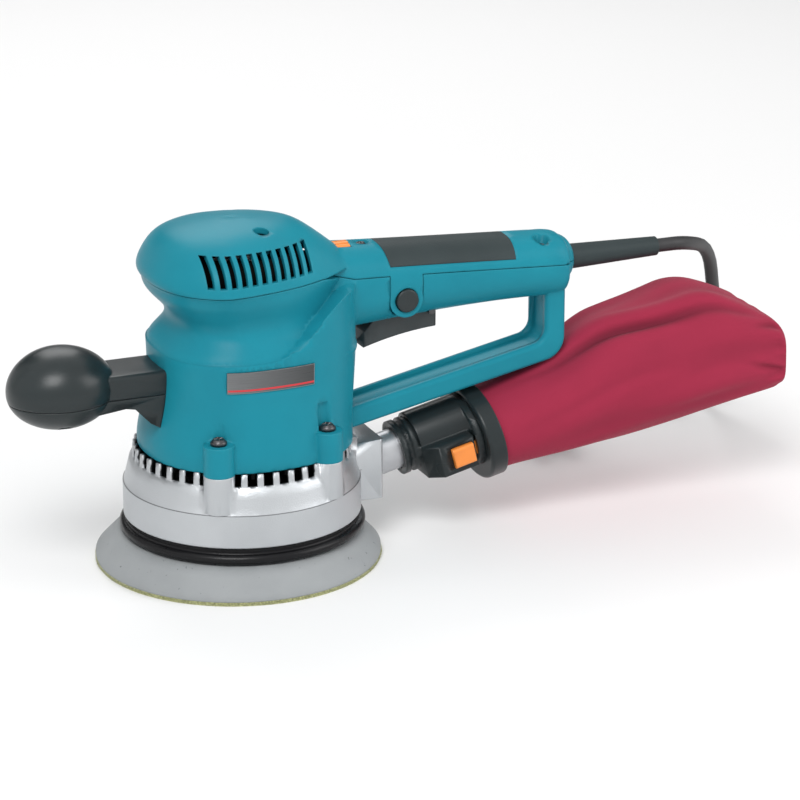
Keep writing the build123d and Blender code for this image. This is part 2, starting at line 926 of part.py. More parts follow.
def nameplate_window(gap):
    """The upright block whose outline on the near side is the nameplate's."""
    half = nameplate_length / 2 + gap
    low = nameplate_bottom - gap
    near = (-far, -barrel_half_width / 2)
    return block((-half, half), near, (low, low + nameplate_height + 2 * gap))


def nameplate():
    """A thin plate bent to the barrel's near side, let into it."""
    return (nameplate_window(0.0) & barrel(nameplate_proud)) - barrel(-nameplate_depth)


def nameplate_seat():
    return nameplate_window(seat_gap) - barrel(-nameplate_depth - seat_gap)


# Base casting


def base_housing():
    """The cast base: dust chamber below its web, fan chamber and vent fins above it."""
    inner = base_radius - base_wall
    web_top = base_web_bottom + base_web_thickness
    seat = large_bearing_radius + seat_gap
    hub = large_bearing_radius + base_hub_wall
    hub_rim = web_top + large_bearing_width + base_hub_rise
    seat_floor = web_top - bearing_seat_drop
    shaft_hole = shaft_radius + shaft_room
    vent_radius = base_shoulder_radius - vent_recess
    vent_inner = vent_radius - base_wall + through
    corners = [
        (inner, base_bottom),
        (base_radius, base_bottom),
        (base_radius, base_step_height),
        (base_radius - base_step_in, base_step_height + base_step_rise),
        (base_shoulder_radius, base_shoulder_height),
        (vent_radius, base_shoulder_height + vent_lip),
        (vent_radius - vent_lean, flange_height),
        (vent_inner, flange_height),
        (vent_inner, web_top),
        (hub, web_top),
        (hub, hub_rim),
        (seat, hub_rim),
        (seat, seat_floor),
        (shaft_hole, seat_floor),
        (shaft_hole, base_web_bottom),
        (inner, base_web_bottom),
    ]
    casting = turned(corners)
    casting += outlet_body()
    fin_count = int(360 / fin_pitch_angle)
    gap = 2 * pi * vent_radius / fin_count - fin_width
    opening_x = (vent_inner - beyond / 4, vent_radius + beyond / 4)
    opening_z = (base_shoulder_height + 2 * vent_lip, flange_height + through)
    opening = block(opening_x, (-gap / 2, gap / 2), opening_z)
    openings = [Rot(0, 0, (k + 0.5) * 360 / fin_count) * opening for k in range(fin_count)]
    kept_half = outlet_half_width + outlet_vent_gap
    kept = block((0, far), (-kept_half, kept_half), (0, far))
    casting -= Compound(openings) - kept
    for x, y in boss_places():
        casting += post(boss_radius, base_step_height + through, flange_height, x, y)
    casting -= ring(vent_inner, hub, web_top, flange_height + through)
    hole_bottom = flange_height + boss_height - housing_screw_length - through
    for x, y in boss_places():
        casting -= post(housing_screw_radius + seat_gap, hole_bottom, flange_height + through, x, y)
    casting -= along_nozzle(bar_x(nozzle_bore_radius, nozzle_inner_end - 2 * beyond, beyond))
    casting -= along_nozzle(bar_x(nozzle_radius + seat_gap, nozzle_inner_end - seat_gap, beyond))
    casting -= ring(inner, hub, base_bottom - through, base_web_bottom)
    return casting


def outlet_body():
    """The radial box that leads from the dust chamber to the nozzle."""
    slope = tan(radians(nozzle_pitch))
    tier = outlet_upper_tier_end
    corners = [
        (base_radius - 1.5 * base_wall, base_bottom),
        (outlet_end, base_bottom),
        (outlet_end, outlet_top + slope * (outlet_end - tier)),
        (tier, outlet_top),
        (tier, flange_height - outlet_upper_tier_drop),
        (base_shoulder_radius - vent_recess - base_wall, flange_height - outlet_upper_tier_drop),
    ]
    half = outlet_half_width
    body = side_plate(corners, (-half, half))
    edges = body.edges().filter_by(Axis.Z).group_by(Axis.X)[-1]
    return fillet(edges, outlet_edge_radius)


def along_nozzle(shape):
    """Carries a shape built along X to the tilted axis of the dust outlet."""
    return Pos(nozzle_x, 0, nozzle_z) * Rot(0, -nozzle_pitch, 0) * shape


def pad_skirt():
    """A moulded rubber ring: a flat land under the casting, a groove and a round bead."""
    low = pad_top + skirt_pad_gap
    bead = (base_bottom - low) * skirt_bead_share
    middle = low + bead
    r = skirt_bead_radius - bead
    face = make_face(Plane.XZ * Polyline(
        (skirt_inner_radius, low),
        (r, low),
        (r, middle + bead),
        (skirt_groove_radius, middle + bead + skirt_groove_rise),
        (skirt_groove_radius + skirt_land_reach, base_bottom),
        (skirt_inner_radius, base_bottom),
        close=True,
    ))
    bead_face = make_face(Plane.XZ * Pos(r, middle) * CenterArc((0, 0), bead, 0, 360))
    return revolve(face + bead_face, Axis.Z)


# Pad and spindle, on the orbiting axis

pad_top = hook_thickness + foam_thickness
spindle_shoulder = pad_top + spindle_flange_thickness
pad_bearing_bottom = spindle_shoulder + spindle_collar
hub_bottom = spindle_shoulder + hub_foot_gap
hub_cavity_top = pad_bearing_bottom + 2 * (large_bearing_width + hub_end_gap)
hub_roof_top = hub_cavity_top + hub_roof
hub_top = hub_roof_top + hub_socket_depth
shaft_bottom = hub_roof_top
fan_shoulder = hub_roof_top


def dust_holes(low, high):
    holes = []
    for k in range(dust_hole_count):
        angle = radians(360 / dust_hole_count * k)
        x = dust_hole_circle_radius * cos(angle) - orbit_offset
        y = dust_hole_circle_radius * sin(angle)
        holes.append(post(dust_hole_radius, low - through, high + through, x, y))
    return holes


def hook_face():
    disc = ring(pad_radius, pad_centre_hole_radius, 0, hook_thickness, -orbit_offset)
    return disc - dust_holes(0, hook_thickness)


def pad_foam():
    """The soft pad: a straight rim, a cone up to the skirt, and a pocket for its plate."""
    pocket = pad_top - plate_thickness
    corners = [
        (pad_centre_hole_radius, hook_thickness),
        (pad_radius, hook_thickness),
        (pad_radius, hook_thickness + foam_rim_height),
        (foam_top_radius, pad_top),
        (plate_radius + seat_gap, pad_top),
        (plate_radius + seat_gap, pocket),
        (pad_centre_hole_radius, pocket),
    ]
    return turned(corners, -orbit_offset) - dust_holes(0, pad_top)


def pad_plate():
    pocket = pad_top - plate_thickness
    disc = ring(plate_radius, pad_bolt_radius + seat_gap, pocket, pad_top, -orbit_offset)
    return disc - dust_holes(pocket, pad_top)


def pad_bolt():
    seat = pad_top - plate_thickness
    low = seat - pad_bolt_head_height
    head_form = post(pad_bolt_head_radius, low, seat, -orbit_offset)
    shank = post(pad_bolt_radius, seat, seat + pad_bolt_length, -orbit_offset)
    socket = Pos(-orbit_offset, 0, low) * extrude(RegularPolygon(pad_bolt_key_radius, 6), pad_bolt_key_depth)
    return head_form + shank - socket


def pad_spindle():
    top = hub_cavity_top - hub_end_gap
    hole_top = pad_top - plate_thickness + pad_bolt_length + through
    ledge = shaft_radius + spindle_collar
    corners = [
        (pad_bolt_radius + seat_gap, pad_top),
        (spindle_flange_radius, pad_top),
        (spindle_flange_radius, spindle_shoulder),
        (ledge, spindle_shoulder),
        (ledge, pad_bearing_bottom - seat_gap),
        (shaft_radius, pad_bearing_bottom - seat_gap),
        (shaft_radius, top),
        (0, top),
        (0, hole_top),
        (pad_bolt_radius + seat_gap, hole_top),
    ]
    return turned(corners, -orbit_offset)


# Rotor


def pad_bearings():
    rings = []
    for k in range(2):
        low = pad_bearing_bottom + k * (large_bearing_width + seat_gap)
        rings.append(bearing(large_bearing_radius, shaft_radius, low, large_bearing_width, -orbit_offset))
    return Compound(rings)


def bearing(outer, journal, low, width, centre_x=0.0):
    """A shielded ball bearing, with the recess of its shields on both faces."""
    bore = journal + running_gap
    race = (outer - bore) * race_share
    dish = shield_dish
    corners = [
        (bore, low),
        (bore + race, low),
        (bore + race, low + dish),
        (outer - race, low + dish),
        (outer - race, low),
        (outer, low),
        (outer, low + width),
        (outer - race, low + width),
        (outer - race, low + width - dish),
        (bore + race, low + width - dish),
        (bore + race, low + width),
        (bore, low + width),
    ]
    return turned(corners, centre_x)


def lower_bearing():
    return bearing(large_bearing_radius, shaft_radius, lower_bearing_bottom, large_bearing_width)


def upper_bearing():
    return bearing(small_bearing_radius, top_journal_radius, upper_bearing_bottom, small_bearing_width)


def orbit_hub():
    """The eccentric: a cup for the pad bearings, off the motor axis, with a balance weight opposite."""
    cup = large_bearing_radius + hub_wall
    body = post(cup, hub_bottom, hub_roof_top, -orbit_offset)
    body += post(hub_neck_radius, hub_roof_top - through, hub_top)
    corner_x = weight_reach * cos(radians(weight_half_angle))
    corner_y = weight_reach * sin(radians(weight_half_angle))
    rim = RadiusArc((corner_x, -corner_y), (corner_x, corner_y), -weight_reach)
    sector = make_face(rim + Polyline((corner_x, corner_y), (0, 0), (corner_x, -corner_y)))
    body += Pos(0, 0, hub_bottom + hub_foot_gap) * extrude(sector, weight_thickness)
    body -= post(large_bearing_radius + seat_gap, hub_bottom - through, hub_cavity_top, -orbit_offset)
    body -= post(shaft_radius + seat_gap, hub_cavity_top - through, hub_top + through)
    return body


def blades(count, root, tip, low, high, lean):
    """Straight fan blades, each leaning back from the radial line."""
    one = block((root, tip), (-blade_thickness / 2, blade_thickness / 2), (low, high))
    one = Pos(root, 0, 0) * Rot(0, 0, lean) * Pos(-root, 0, 0) * one
    return [Rot(0, 0, 360 / count * k) * one for k in range(count)]


def dust_fan():
    low = fan_shoulder
    disc = ring(dust_fan_radius, hub_neck_radius + seat_gap, low, low + fan_disc_thickness)
    tip = dust_fan_radius - dust_blade_inset
    foot = low - dust_blade_height
    return disc + blades(dust_blade_count, dust_blade_root, tip, foot, low, dust_blade_lean)


def cooling_fan():
    low = cooling_fan_disc
    bore = shaft_body_radius + seat_gap
    disc = ring(cooling_fan_radius, bore, low, low + fan_disc_thickness)
    disc += ring(cooling_fan_hub_radius, bore, low, low + cooling_fan_hub_height)
    tip = cooling_fan_radius - through
    foot = low - cooling_blade_height
    return disc + blades(cooling_blade_count, cooling_blade_root, tip, foot, low, cooling_blade_lean)


lower_bearing_bottom = base_web_bottom + base_web_thickness
lower_bearing_top = lower_bearing_bottom + large_bearing_width
upper_bearing_bottom = bracket_bottom + bracket_thickness


def armature_shaft():
    journal_foot = bracket_bottom - hub_end_gap
    top = upper_bearing_bottom + small_bearing_width + hub_end_gap
    corners = [
        (0, shaft_bottom),
        (shaft_radius, shaft_bottom),
        (shaft_radius, lower_bearing_top + seat_gap),
        (shaft_body_radius, lower_bearing_top + seat_gap),
        (shaft_body_radius, journal_foot),
        (top_journal_radius, journal_foot),
        (top_journal_radius, top),
        (0, top),
    ]
    return turned(corners)


def armature_core():
    """Laminated core with its winding slots."""
    top = stator_bottom + stator_height
    core = ring(armature_radius, shaft_body_radius + seat_gap, stator_bottom, top)
    depth = (armature_radius - armature_slot_depth, armature_radius + through)
    width = (-armature_slot_half_width, armature_slot_half_width)
    slot = block(depth, width, (stator_bottom - through, top + through))
    turn = 360 / armature_slot_count
    return core - [Rot(0, 0, turn * k) * slot for k in range(armature_slot_count)]


def rounded_ring(outer, inner, low, high, radius):
    body = ring(outer, inner, low, high)
    edges = body.edges().filter_by(GeomType.CIRCLE).sort_by(SortBy.RADIUS)[-2:]
    return fillet(edges, radius)


def armature_windings():
    top = stator_bottom + stator_height
    inner = shaft_body_radius + seat_gap
    rings = []
    for low in (stator_bottom - winding_overhang, top):
        high = low + winding_overhang
        rings.append(rounded_ring(armature_winding_radius, inner, low, high, armature_winding_round))
    return Compound(rings)


def commutator():
    top = commutator_bottom + commutator_height
    body = ring(commutator_radius, shaft_body_radius + seat_gap, commutator_bottom, top)
    rim = commutator_radius + riser_reach
    riser = ring(rim, rim - riser_height, commutator_bottom, commutator_bottom + riser_height)
    return body + riser


# Stator, brushes and bracket


def pole_sector(radius, half_angle, low, high, turn):
    """A wedge of a disc about the motor axis."""
    reach = radius / cos(radians(half_angle))
    y = reach * sin(radians(half_angle))
    wedge = make_face(Polyline((0, 0), (radius, -y), (radius, y), close=True))
    return Rot(0, 0, turn) * Pos(0, 0, low) * extrude(wedge, high - low)


def stator_core():
    """A two-pole ring: pole faces close to the armature, winding slots between them."""
    top = stator_bottom + stator_height
    core = ring(stator_radius, stator_pole_radius, stator_bottom, top)
    slots = ring(stator_slot_radius, stator_pole_radius - through, stator_bottom - through, top + through)
    for turn in (0, 180):
        slots -= pole_sector(stator_radius + beyond, pole_half_angle, 0, far, turn)
    return core - slots


def field_windings():
    """Two saddle coils, packed in the stator's slots and turned over at its ends."""
    top = stator_bottom + stator_height
    outer = stator_slot_radius - seat_gap
    inner = stator_pole_radius + field_gap
    coil_ring = ring(outer, inner, stator_bottom - winding_overhang, top + winding_overhang)
    for turn in (0, 180):
        coil_ring -= pole_sector(
            stator_radius + beyond, pole_half_angle + field_gap_angle, stator_bottom, top, turn
        )
    return coil_ring - block((-field_gap, field_gap), (-far, far), (0, far))


def bearing_bracket():
    """The moulded plate over the commutator that holds the upper bearing."""
    cup_inner = small_bearing_radius + seat_gap
    top = upper_bearing_bottom + small_bearing_width
    shaft_hole = top_journal_radius + shaft_room
    corners = [
        (shaft_hole, bracket_bottom),
        (bracket_radius, bracket_bottom),
        (bracket_radius, upper_bearing_bottom),
        (cup_inner + bracket_cup_wall, upper_bearing_bottom),
        (cup_inner + bracket_cup_wall, top),
        (cup_inner, top),
        (cup_inner, upper_bearing_bottom),
        (shaft_hole, upper_bearing_bottom),
    ]
    plate = turned(corners)
    width = (-bracket_vent_half_width, bracket_vent_half_width)
    vent = block(bracket_vent, width, (bracket_bottom - through, upper_bearing_bottom + through))
    return plate - vent - Rot(0, 0, 180) * vent


def brush_holders():
    start = commutator_radius + holder_gap
    outer_x = brush_half_width + seat_gap + holder_wall
    bore_x = brush_half_width + seat_gap
    bore_z = brush_half_height + seat_gap
    low = brush_axis_height - brush_half_height - holder_wall
    body = block((-outer_x, outer_x), (start, start + holder_length), (low, bracket_bottom))
    z_range = (brush_axis_height - bore_z, brush_axis_height + bore_z)
    body -= block((-bore_x, bore_x), (start - through, start + holder_bore_length), z_range)
    return Compound([body, Rot(0, 0, 180) * body])


def carbon_brushes():
    start = commutator_radius + slip_gap
    half_x = brush_half_width
    z_range = (brush_axis_height - brush_half_height, brush_axis_height + brush_half_height)
    brush = block((-half_x, half_x), (start, start + brush_length), z_range)
    return Compound([brush, Rot(0, 0, 180) * brush])


# Screws


def screw(head_radius, head_height, radius, length):
    """A pan-head screw, seat at the origin, pointing down, with a cross recess."""
    face = make_face(Plane.XZ * Polyline(
        (0, head_height),
        (head_radius * 0.6, head_height),
        (head_radius, head_height * 0.45),
        (head_radius, 0),
        (radius, 0),
        (radius, -length),
        (0, -length),
        close=True,
    ))
    arm = head_radius * 0.55
    cross = block((-arm, arm), (-0.5, 0.5), (head_height * 0.5, head_height + 1))
    return revolve(face, Axis.Z) - cross - Rot(0, 0, 90) * cross


def housing_screws():
    one = screw(
        housing_screw_head_radius, housing_screw_head_height, housing_screw_radius, housing_screw_length
    )
    seat = flange_height + boss_height
    return Compound([Pos(x, y, seat) * one for x, y in boss_places()])


def cover_screws():
    one = screw(cover_screw_head_radius, cover_screw_head_height, cover_screw_radius, cover_screw_length)
    return Compound([Pos(x, y, seat) * one for x, y, seat in cover_wells()])


# Switch gear


def trigger():
    """A finger lever: curved underside, hung on a pin at its rear end."""
    span = trigger_rear - trigger_front
    middle_z = (trigger_front_drop + trigger_rear_drop) / 2 + trigger_curve_rise
    middle = (trigger_front + span * trigger_low_share, middle_z)
    under = ThreePointArc((trigger_front, trigger_front_drop), middle, (trigger_rear, trigger_rear_drop))
    eye_top = trigger_pin_z + trigger_pin_radius + running_gap + trigger_eye_wall
    top = Polyline(
        (trigger_rear, trigger_rear_drop),
        (trigger_rear, eye_top),
        (trigger_pin_x - trigger_eye_reach, eye_top),
        (trigger_front + trigger_nose, trigger_roof),
        (trigger_front, trigger_front_drop + trigger_nose),
        (trigger_front, trigger_front_drop),
    )
    face = make_face(Plane.XZ * (under + top))
    body = extrude(face, trigger_half_width, both=True)
    body -= bar_y(trigger_pin_radius + running_gap, -beyond, beyond, trigger_pin_x, trigger_pin_z)
    lower = body.edges().filter_by(GeomType.CIRCLE).sort_by(SortBy.LENGTH)[-2:]
    return fillet(lower, trigger_edge_radius)


def trigger_pin():
    half = pin_half_length - seat_gap
    return bar_y(trigger_pin_radius, -half, half, trigger_pin_x, trigger_pin_z)


def switch_body():
    half = switch_half_width
    body = block((switch_front, switch_rear), (-half, half), (switch_bottom, switch_top))
    return chamfer(body.edges().filter_by(Axis.Y), switch_chamfer)


def lock_button():
    """A round push button with a dished face and a stem towards the switch."""
    stem_end = -switch_half_width - button_travel - through
    head_form = bar_y(button_radius, -button_face, -button_face + button_length, button_x, button_z)
    head_form = fillet(head_form.edges().sort_by(Axis.Y)[0], button_edge_radius)
    stem = bar_y(button_stem_radius, -button_face + through, stem_end, button_x, button_z)
    return head_form + stem


def speed_dial():
    """A ribbed thumb-wheel on the controller's spindle."""
    end = dial_front + dial_width
    wheel = bar_x(dial_radius, dial_front, end, z=dial_axis_height)
    ends = (dial_front - through, end + through)
    width = (-dial_groove_half_width, dial_groove_half_width)
    groove = block(ends, width, (dial_radius - dial_rib_depth, dial_radius + through))
    cuts = []
    for k in range(dial_rib_count):
        cuts.append(Pos(0, 0, dial_axis_height) * Rot(360 / dial_rib_count * k, 0, 0) * groove)
    bore = bar_x(dial_pin_radius + running_gap, *ends, z=dial_axis_height)
    return wheel - cuts - bore


def speed_controller():
    start = dial_front + dial_width + slip_gap
    half = controller_half_width
    body = block((start, cradle_front), (-half, half), (controller_bottom, controller_top))
    pin = bar_x(dial_pin_radius, dial_front + through, start + dial_pin_bite, z=dial_axis_height)
    return body + controller_riser(0.0) + pin


def cord_clamp():
    """A block on the handle's floor that carries the cord's inner end."""
    start = cord_inner_end + clamp_start
    half = handle_cavity_half_width - slip_gap
    span = (start, start + clamp_length)
    return block(span, (-half, half), (handle_cavity_floor + slip_gap, cord_axis_height - cord_radius))


# Front knob


def knob_form():
    """The egg: ellipses square to X, from the tip back into the neck."""
    tip = knob_centre_x - knob_half_length
    curves = [Vertex(tip, 0, knob_centre_z - knob_tip_drop)]
    for along in (-0.965, -0.82, -0.5, -0.05, 0.42, 0.78, 0.97):
        swell = (1 - along * along) ** 0.5
        half_width = knob_half_width * swell
        half_height = knob_half_height * swell
        middle = knob_centre_z - knob_tip_drop * (along < 0) * along * along
        x = knob_centre_x + knob_half_length * along
        curves.append(station_curve(x, half_width, middle + half_height, middle - half_height, knob_power))
    curves.append(Vertex(knob_centre_x + knob_half_length, 0, knob_centre_z))
    return Solid.make_loft(curves)


def neck_form():
    """The arm from knob to barrel, flaring down into a saddle."""
    inner = -waist_front + 2
    corners = [
        (knob_centre_x + neck_start, neck_top),
        (inner, neck_top),
        (inner, saddle_bottom),
        (-barrel_front - 3, saddle_bottom),
        (-barrel_front - 8, saddle_bottom + 3),
        (-barrel_front - 16, neck_underside - 1),
        (-barrel_front - 21, neck_underside),
        (knob_centre_x + neck_start, neck_underside - 2),
    ]
    arm = side_plate(corners, (-neck_half_width, neck_half_width))
    return fillet(arm.edges().filter_by(Axis.X).group_by(Axis.Z)[-1], neck_edge_radius)


def front_grip():
    grip = knob_form() + neck_form()
    return grip - barrel(seat_gap)


def front_grip_upper(grip):
    low = knob_seam_height + seam_gap / 2
    upper = grip & block((-far, 0), (-far, far), (low, far))
    pocket_start = grip_bolt_head_x - grip_bolt_head_height - grip_bolt_room
    upper -= bar_x(grip_bolt_head_radius + slip_gap, pocket_start, grip_bolt_head_x, z=knob_centre_z)
    upper -= bar_x(grip_bolt_radius + seat_gap, grip_bolt_head_x - through, 0, z=knob_centre_z)
    for side in (-1, 1):
        ends = (knob_seam_height - through, grip_screw_seat + grip_screw_length + through)
        upper -= post(grip_screw_radius + seat_gap, *ends, grip_screw_x, side * grip_screw_y)
    return upper


def front_grip_lower(grip):
    high = knob_seam_height - seam_gap / 2
    lower = grip & block((-far, 0), (-far, far), (0, high))
    for side in (-1, 1):
        y = side * grip_screw_y
        lower -= post(grip_screw_head_radius + grip_screw_head_gap, 0, grip_screw_seat, grip_screw_x, y)
        lower -= post(grip_screw_radius + seat_gap, grip_screw_seat - through, far, grip_screw_x, y)
    return lower


def front_grip_bolt():
    start = grip_bolt_head_x - grip_bolt_head_height
    bolt = bar_x(grip_bolt_head_radius, start, grip_bolt_head_x, z=knob_centre_z)
    bolt += bar_x(grip_bolt_radius, grip_bolt_head_x, grip_bolt_head_x + grip_bolt_length, z=knob_centre_z)
    key = extrude(RegularPolygon(grip_bolt_key_radius, 6), grip_bolt_key_depth)
    return bolt - Pos(start, 0, knob_centre_z) * Rot(0, 90, 0) * key


def grip_screws():
    one = screw(grip_screw_head_radius, grip_screw_head_height, grip_screw_radius, grip_screw_length)
    flipped = Rot(180, 0, 0) * one
    places = [Pos(grip_screw_x, side * grip_screw_y, grip_screw_seat) for side in (-1, 1)]
    return Compound([place * flipped for place in places])


# Dust nozzle, connector and bag frame, each built along X


def tube_x(outer, inner, start, end):
    return bar_x(outer, start, end) - bar_x(inner, start - through, end + through)


def dust_nozzle():
    return along_nozzle(tube_x(nozzle_radius, nozzle_bore_radius, nozzle_inner_end, nozzle_outer_end))


def oval_x(half_width, half_height, start, end, drop=0.0):
    """An elliptical plate square to X."""
    face = make_face(Plane.YZ * Ellipse(half_width, half_height).edge())
    return Pos(start, 0, -drop) * extrude(face, end - start)


def latch_pocket(side, gap, travel=0.0):
    """The space of one latch, from inside its housing outwards, with room for its travel."""
    half_length = latch_length / 2 + gap
    half_height = latch_height / 2 + gap
    outer = latch_house_reach + latch_proud
    inner = outer - latch_depth
    ends = sorted((side * (inner - gap - travel), side * (outer + gap)))
    length = (latch_middle - half_length, latch_middle + half_length)
    return block(length, ends, (latch_height_middle - half_height, latch_height_middle + half_height))


def latch_arm(side, gap, travel=0.0):
    """The flat spring arm that runs from the latch to the bag frame, with room for its travel."""
    outer = latch_house_reach + latch_proud - latch_depth + latch_arm_thickness
    inner = outer - latch_arm_thickness
    ends = sorted((side * (inner - gap - travel), side * (outer + gap)))
    half = latch_arm_height / 2 + gap
    length = (latch_house_rear - latch_arm_root, frame_start + frame_plate)
    return block(length, ends, (latch_height_middle - half, latch_height_middle + half))


latch_height_middle = (latch_house_top + latch_house_bottom) / 2
frame_start = connector_end + connector_flange_thickness + seat_gap


def dust_connector():
    """The socket on the nozzle, a ringed collar, the latch housings and the flange for the bag."""
    body = bar_x(socket_radius, socket_start, connector_body_start + through)
    for start in (socket_start, socket_start + 2 * socket_ring_width):
        body += bar_x(socket_ring_radius, start, start + socket_ring_width)
    body += bar_x(connector_radius, connector_body_start, connector_end + through)
    house = (latch_house_front, latch_house_rear)
    reach = latch_house_reach
    housing = block(house, (-reach, reach), (latch_house_bottom, latch_house_top))
    housing = chamfer(housing.edges().filter_by(Axis.Z).group_by(Axis.X)[0], latch_house_slant)
    body += housing
    flange_end = connector_end + connector_flange_thickness
    body += oval_x(
        connector_flange_half_width,
        connector_flange_half_height,
        connector_end,
        flange_end,
        frame_drop * flange_drop_share,
    )
    body -= bar_x(nozzle_radius + seat_gap, socket_start - through, nozzle_outer_end + through)
    body -= bar_x(nozzle_bore_radius, socket_start - through, flange_end + through)
    for side in (-1, 1):
        body -= latch_pocket(side, slip_gap, latch_travel)
        body -= latch_arm(side, slip_gap, latch_travel)
    return along_nozzle(body)


def bag_latch(side):
    button = latch_pocket(side, 0.0)
    outer = button.edges().filter_by(Axis.X).group_by(Axis.Y)[0 if side < 0 else -1]
    button = fillet(outer, latch_edge_radius)
    return along_nozzle(button + latch_arm(side, 0.0))


def bag_frame():
    """An oval cup: a plate against the connector and a rim that holds the bag's mouth."""
    end = frame_start + frame_depth
    body = oval_x(frame_half_width, frame_half_height, frame_start, end, frame_drop)
    body = fillet(body.edges().sort_by(Axis.X)[0], frame_edge_radius)
    inner_w = frame_half_width - frame_wall
    inner_h = frame_half_height - frame_wall
    body -= oval_x(inner_w, inner_h, frame_start + frame_plate, end + through, frame_drop)
    body -= bar_x(nozzle_bore_radius, frame_start - through, end + through)
    for side in (-1, 1):
        body -= latch_arm(side, slip_gap, latch_travel)
    return along_nozzle(body)


def nozzle_point(along, drop):
    """(x, z) of a point given along the tilted axis and below it."""
    a = radians(nozzle_pitch)
    return (nozzle_x + along * cos(a) + drop * sin(a), nozzle_z + along * sin(a) - drop * cos(a))


def dust_bag():
    """The filled bag: an oval mouth in the frame, swelling behind the handle to a flat end."""
    rim = frame_start + frame_depth + slip_gap
    half_w = frame_half_width - frame_wall - slip_gap
    half_h = frame_half_height - frame_wall - slip_gap
    rim_x, rim_z = nozzle_point(rim, frame_drop)
    pitch = radians(nozzle_pitch)
    lean = tan(pitch)
    # Each row: x, height, half width, half height and the power of its curve.
    rows = [
        (rim_x, rim_z, half_w, half_h * cos(pitch), 2.0),
        (bag_waist_x, bag_waist_z, half_w + 3, bag_waist_half_height, 2.2),
        (bag_swell_x, bag_swell_z, half_w + 7, bag_swell_half_height, 2.5),
        (bag_full_x, bag_full_z, bag_end_half_width, bag_full_half_height, 2.8),
        (bag_end, bag_end_height, bag_end_half_width, bag_end_half_height, 4.0),
    ]
    curves = []
    for x, z, half_width, half_height, power in rows:
        outline = oval_points(half_height, half_height, half_width, power, power)
        curves.append(closed_curve([(x - lean * up, y, z + up) for up, y in outline]))
    mouth = extrude(
        Face(curves[0]),
        rim - (frame_start + frame_plate + slip_gap),
        dir=(-cos(pitch), 0, -sin(pitch)),
    )
    return mouth + Solid.make_loft(curves)


# Cord, guard, coil and plug


def cord_guard():
    """A tapered rubber sleeve, held in the handle by its flange."""
    x0 = guard_flange_x
    x1 = x0 + guard_flange_thickness
    bore = cord_radius + seat_gap
    face = make_face(Polyline(
        (x0, bore),
        (x0, guard_flange_radius),
        (x1, guard_flange_radius),
        (x1, guard_root_radius),
        (collar_end, guard_root_radius),
        (guard_end, guard_tip_radius),
        (guard_end, bore),
        close=True,
    ))
    return Pos(0, 0, cord_axis_height) * revolve(face, Axis.X)


coil_floor_height = tie_thickness + slip_gap + cord_radius
coil_outer_radius = coil_mid_radius + coil_pitch * coil_turns_per_layer / 2
coil_inner_radius = coil_mid_radius - coil_pitch * coil_turns_per_layer / 2


def coil_place(turns):
    """A point of the coil after so many turns: inwards below, half a turn up, outwards above."""
    first = coil_turns_per_layer
    second = first + 0.5
    share = min(max((turns - first) / (second - first), 0.0), 1.0)
    rise = coil_layer_rise * share * share * (3 - 2 * share)
    radius = coil_inner_radius - coil_dip * 4 * share * (1 - share)
    radius += coil_pitch * max(first - turns, turns - second, 0.0)
    angle = radians(coil_start_angle) + 2 * pi * turns
    x = coil_centre[0] + radius * cos(angle)
    y = coil_centre[1] + radius * sin(angle)
    return Vector(x, y, coil_floor_height + rise)


def coil_direction(turns):
    step = 0.01
    return (coil_place(turns + step) - coil_place(turns - step)).normalized()


def biarc(start, start_way, end, end_way):
    """Two arcs that leave start and reach end in the given directions, meeting smoothly."""
    chord = end - start
    total = start_way + end_way
    a = total.dot(total) - 4
    b = -2 * chord.dot(total)
    c = chord.dot(chord)
    reach = 2 * c / (-b + (b * b - 4 * a * c) ** 0.5)
    middle = (start + start_way * reach + end - end_way * reach) * 0.5
    first = TangentArc(start, middle, tangent=start_way)
    second = TangentArc(middle, end, tangent=first % 1)
    return [first, second]


coil_total_turns = 2 * coil_turns_per_layer + 0.5
coil_quarters = round(coil_total_turns * 4)
coil_lead = cord_diameter


def coil_path():
    stops = [k / 4 for k in range(coil_quarters + 1)]
    places = [coil_place(t) for t in stops]
    ways = [coil_direction(t) for t in stops]
    ways[0] = Vector(ways[0].X, ways[0].Y, 0).normalized()
    ways[-1] = Vector(ways[-1].X, ways[-1].Y, 0).normalized()
    edges = [Line(places[0] - ways[0] * coil_lead, places[0])]
    for k in range(coil_quarters):
        edges += biarc(places[k], ways[k], places[k + 1], ways[k + 1])
    edges.append(Line(places[-1], places[-1] + ways[-1] * coil_tail))
    return Wire(edges), ways[0], ways[-1]


def swept_cord(path):
    section = Plane(path @ 0, z_dir=path % 0) * Circle(cord_radius)
    return sweep(section, path=path)


def least_coil_gap(path):
    """The least clear distance between parts of the coil more than half a turn apart."""
    count = coil_quarters * 12
    spots = [path @ (k / count) for k in range(count + 1)]
    apart = int(count * 0.5 / coil_total_turns)
    least = min(
        (spots[i] - spots[j]).length
        for i in range(count + 1)
        for j in range(i + apart, count + 1)
    )
    return least - cord_diameter


def cord_route(coil_start, coil_way):
    """Points from inside the handle to the coil, chosen by hand except the last two."""
    return [
        (cord_inner_end, 0, cord_axis_height),
        *cord_bends,
        tuple(coil_start - coil_way * cord_floor_run),
        tuple(coil_start),
    ]


def route_radii(points):
    """The largest tangent arc at each corner of the route."""
    corners = [Vector(*p) for p in points]
    radii = []
    for before, here, after in zip(corners, corners[1:], corners[2:]):
        first = here - before
        second = after - here
        turn = radians(first.get_angle(second))
        radii.append(cord_bend_share * min(first.length, second.length) / tan(turn / 2))
    return radii


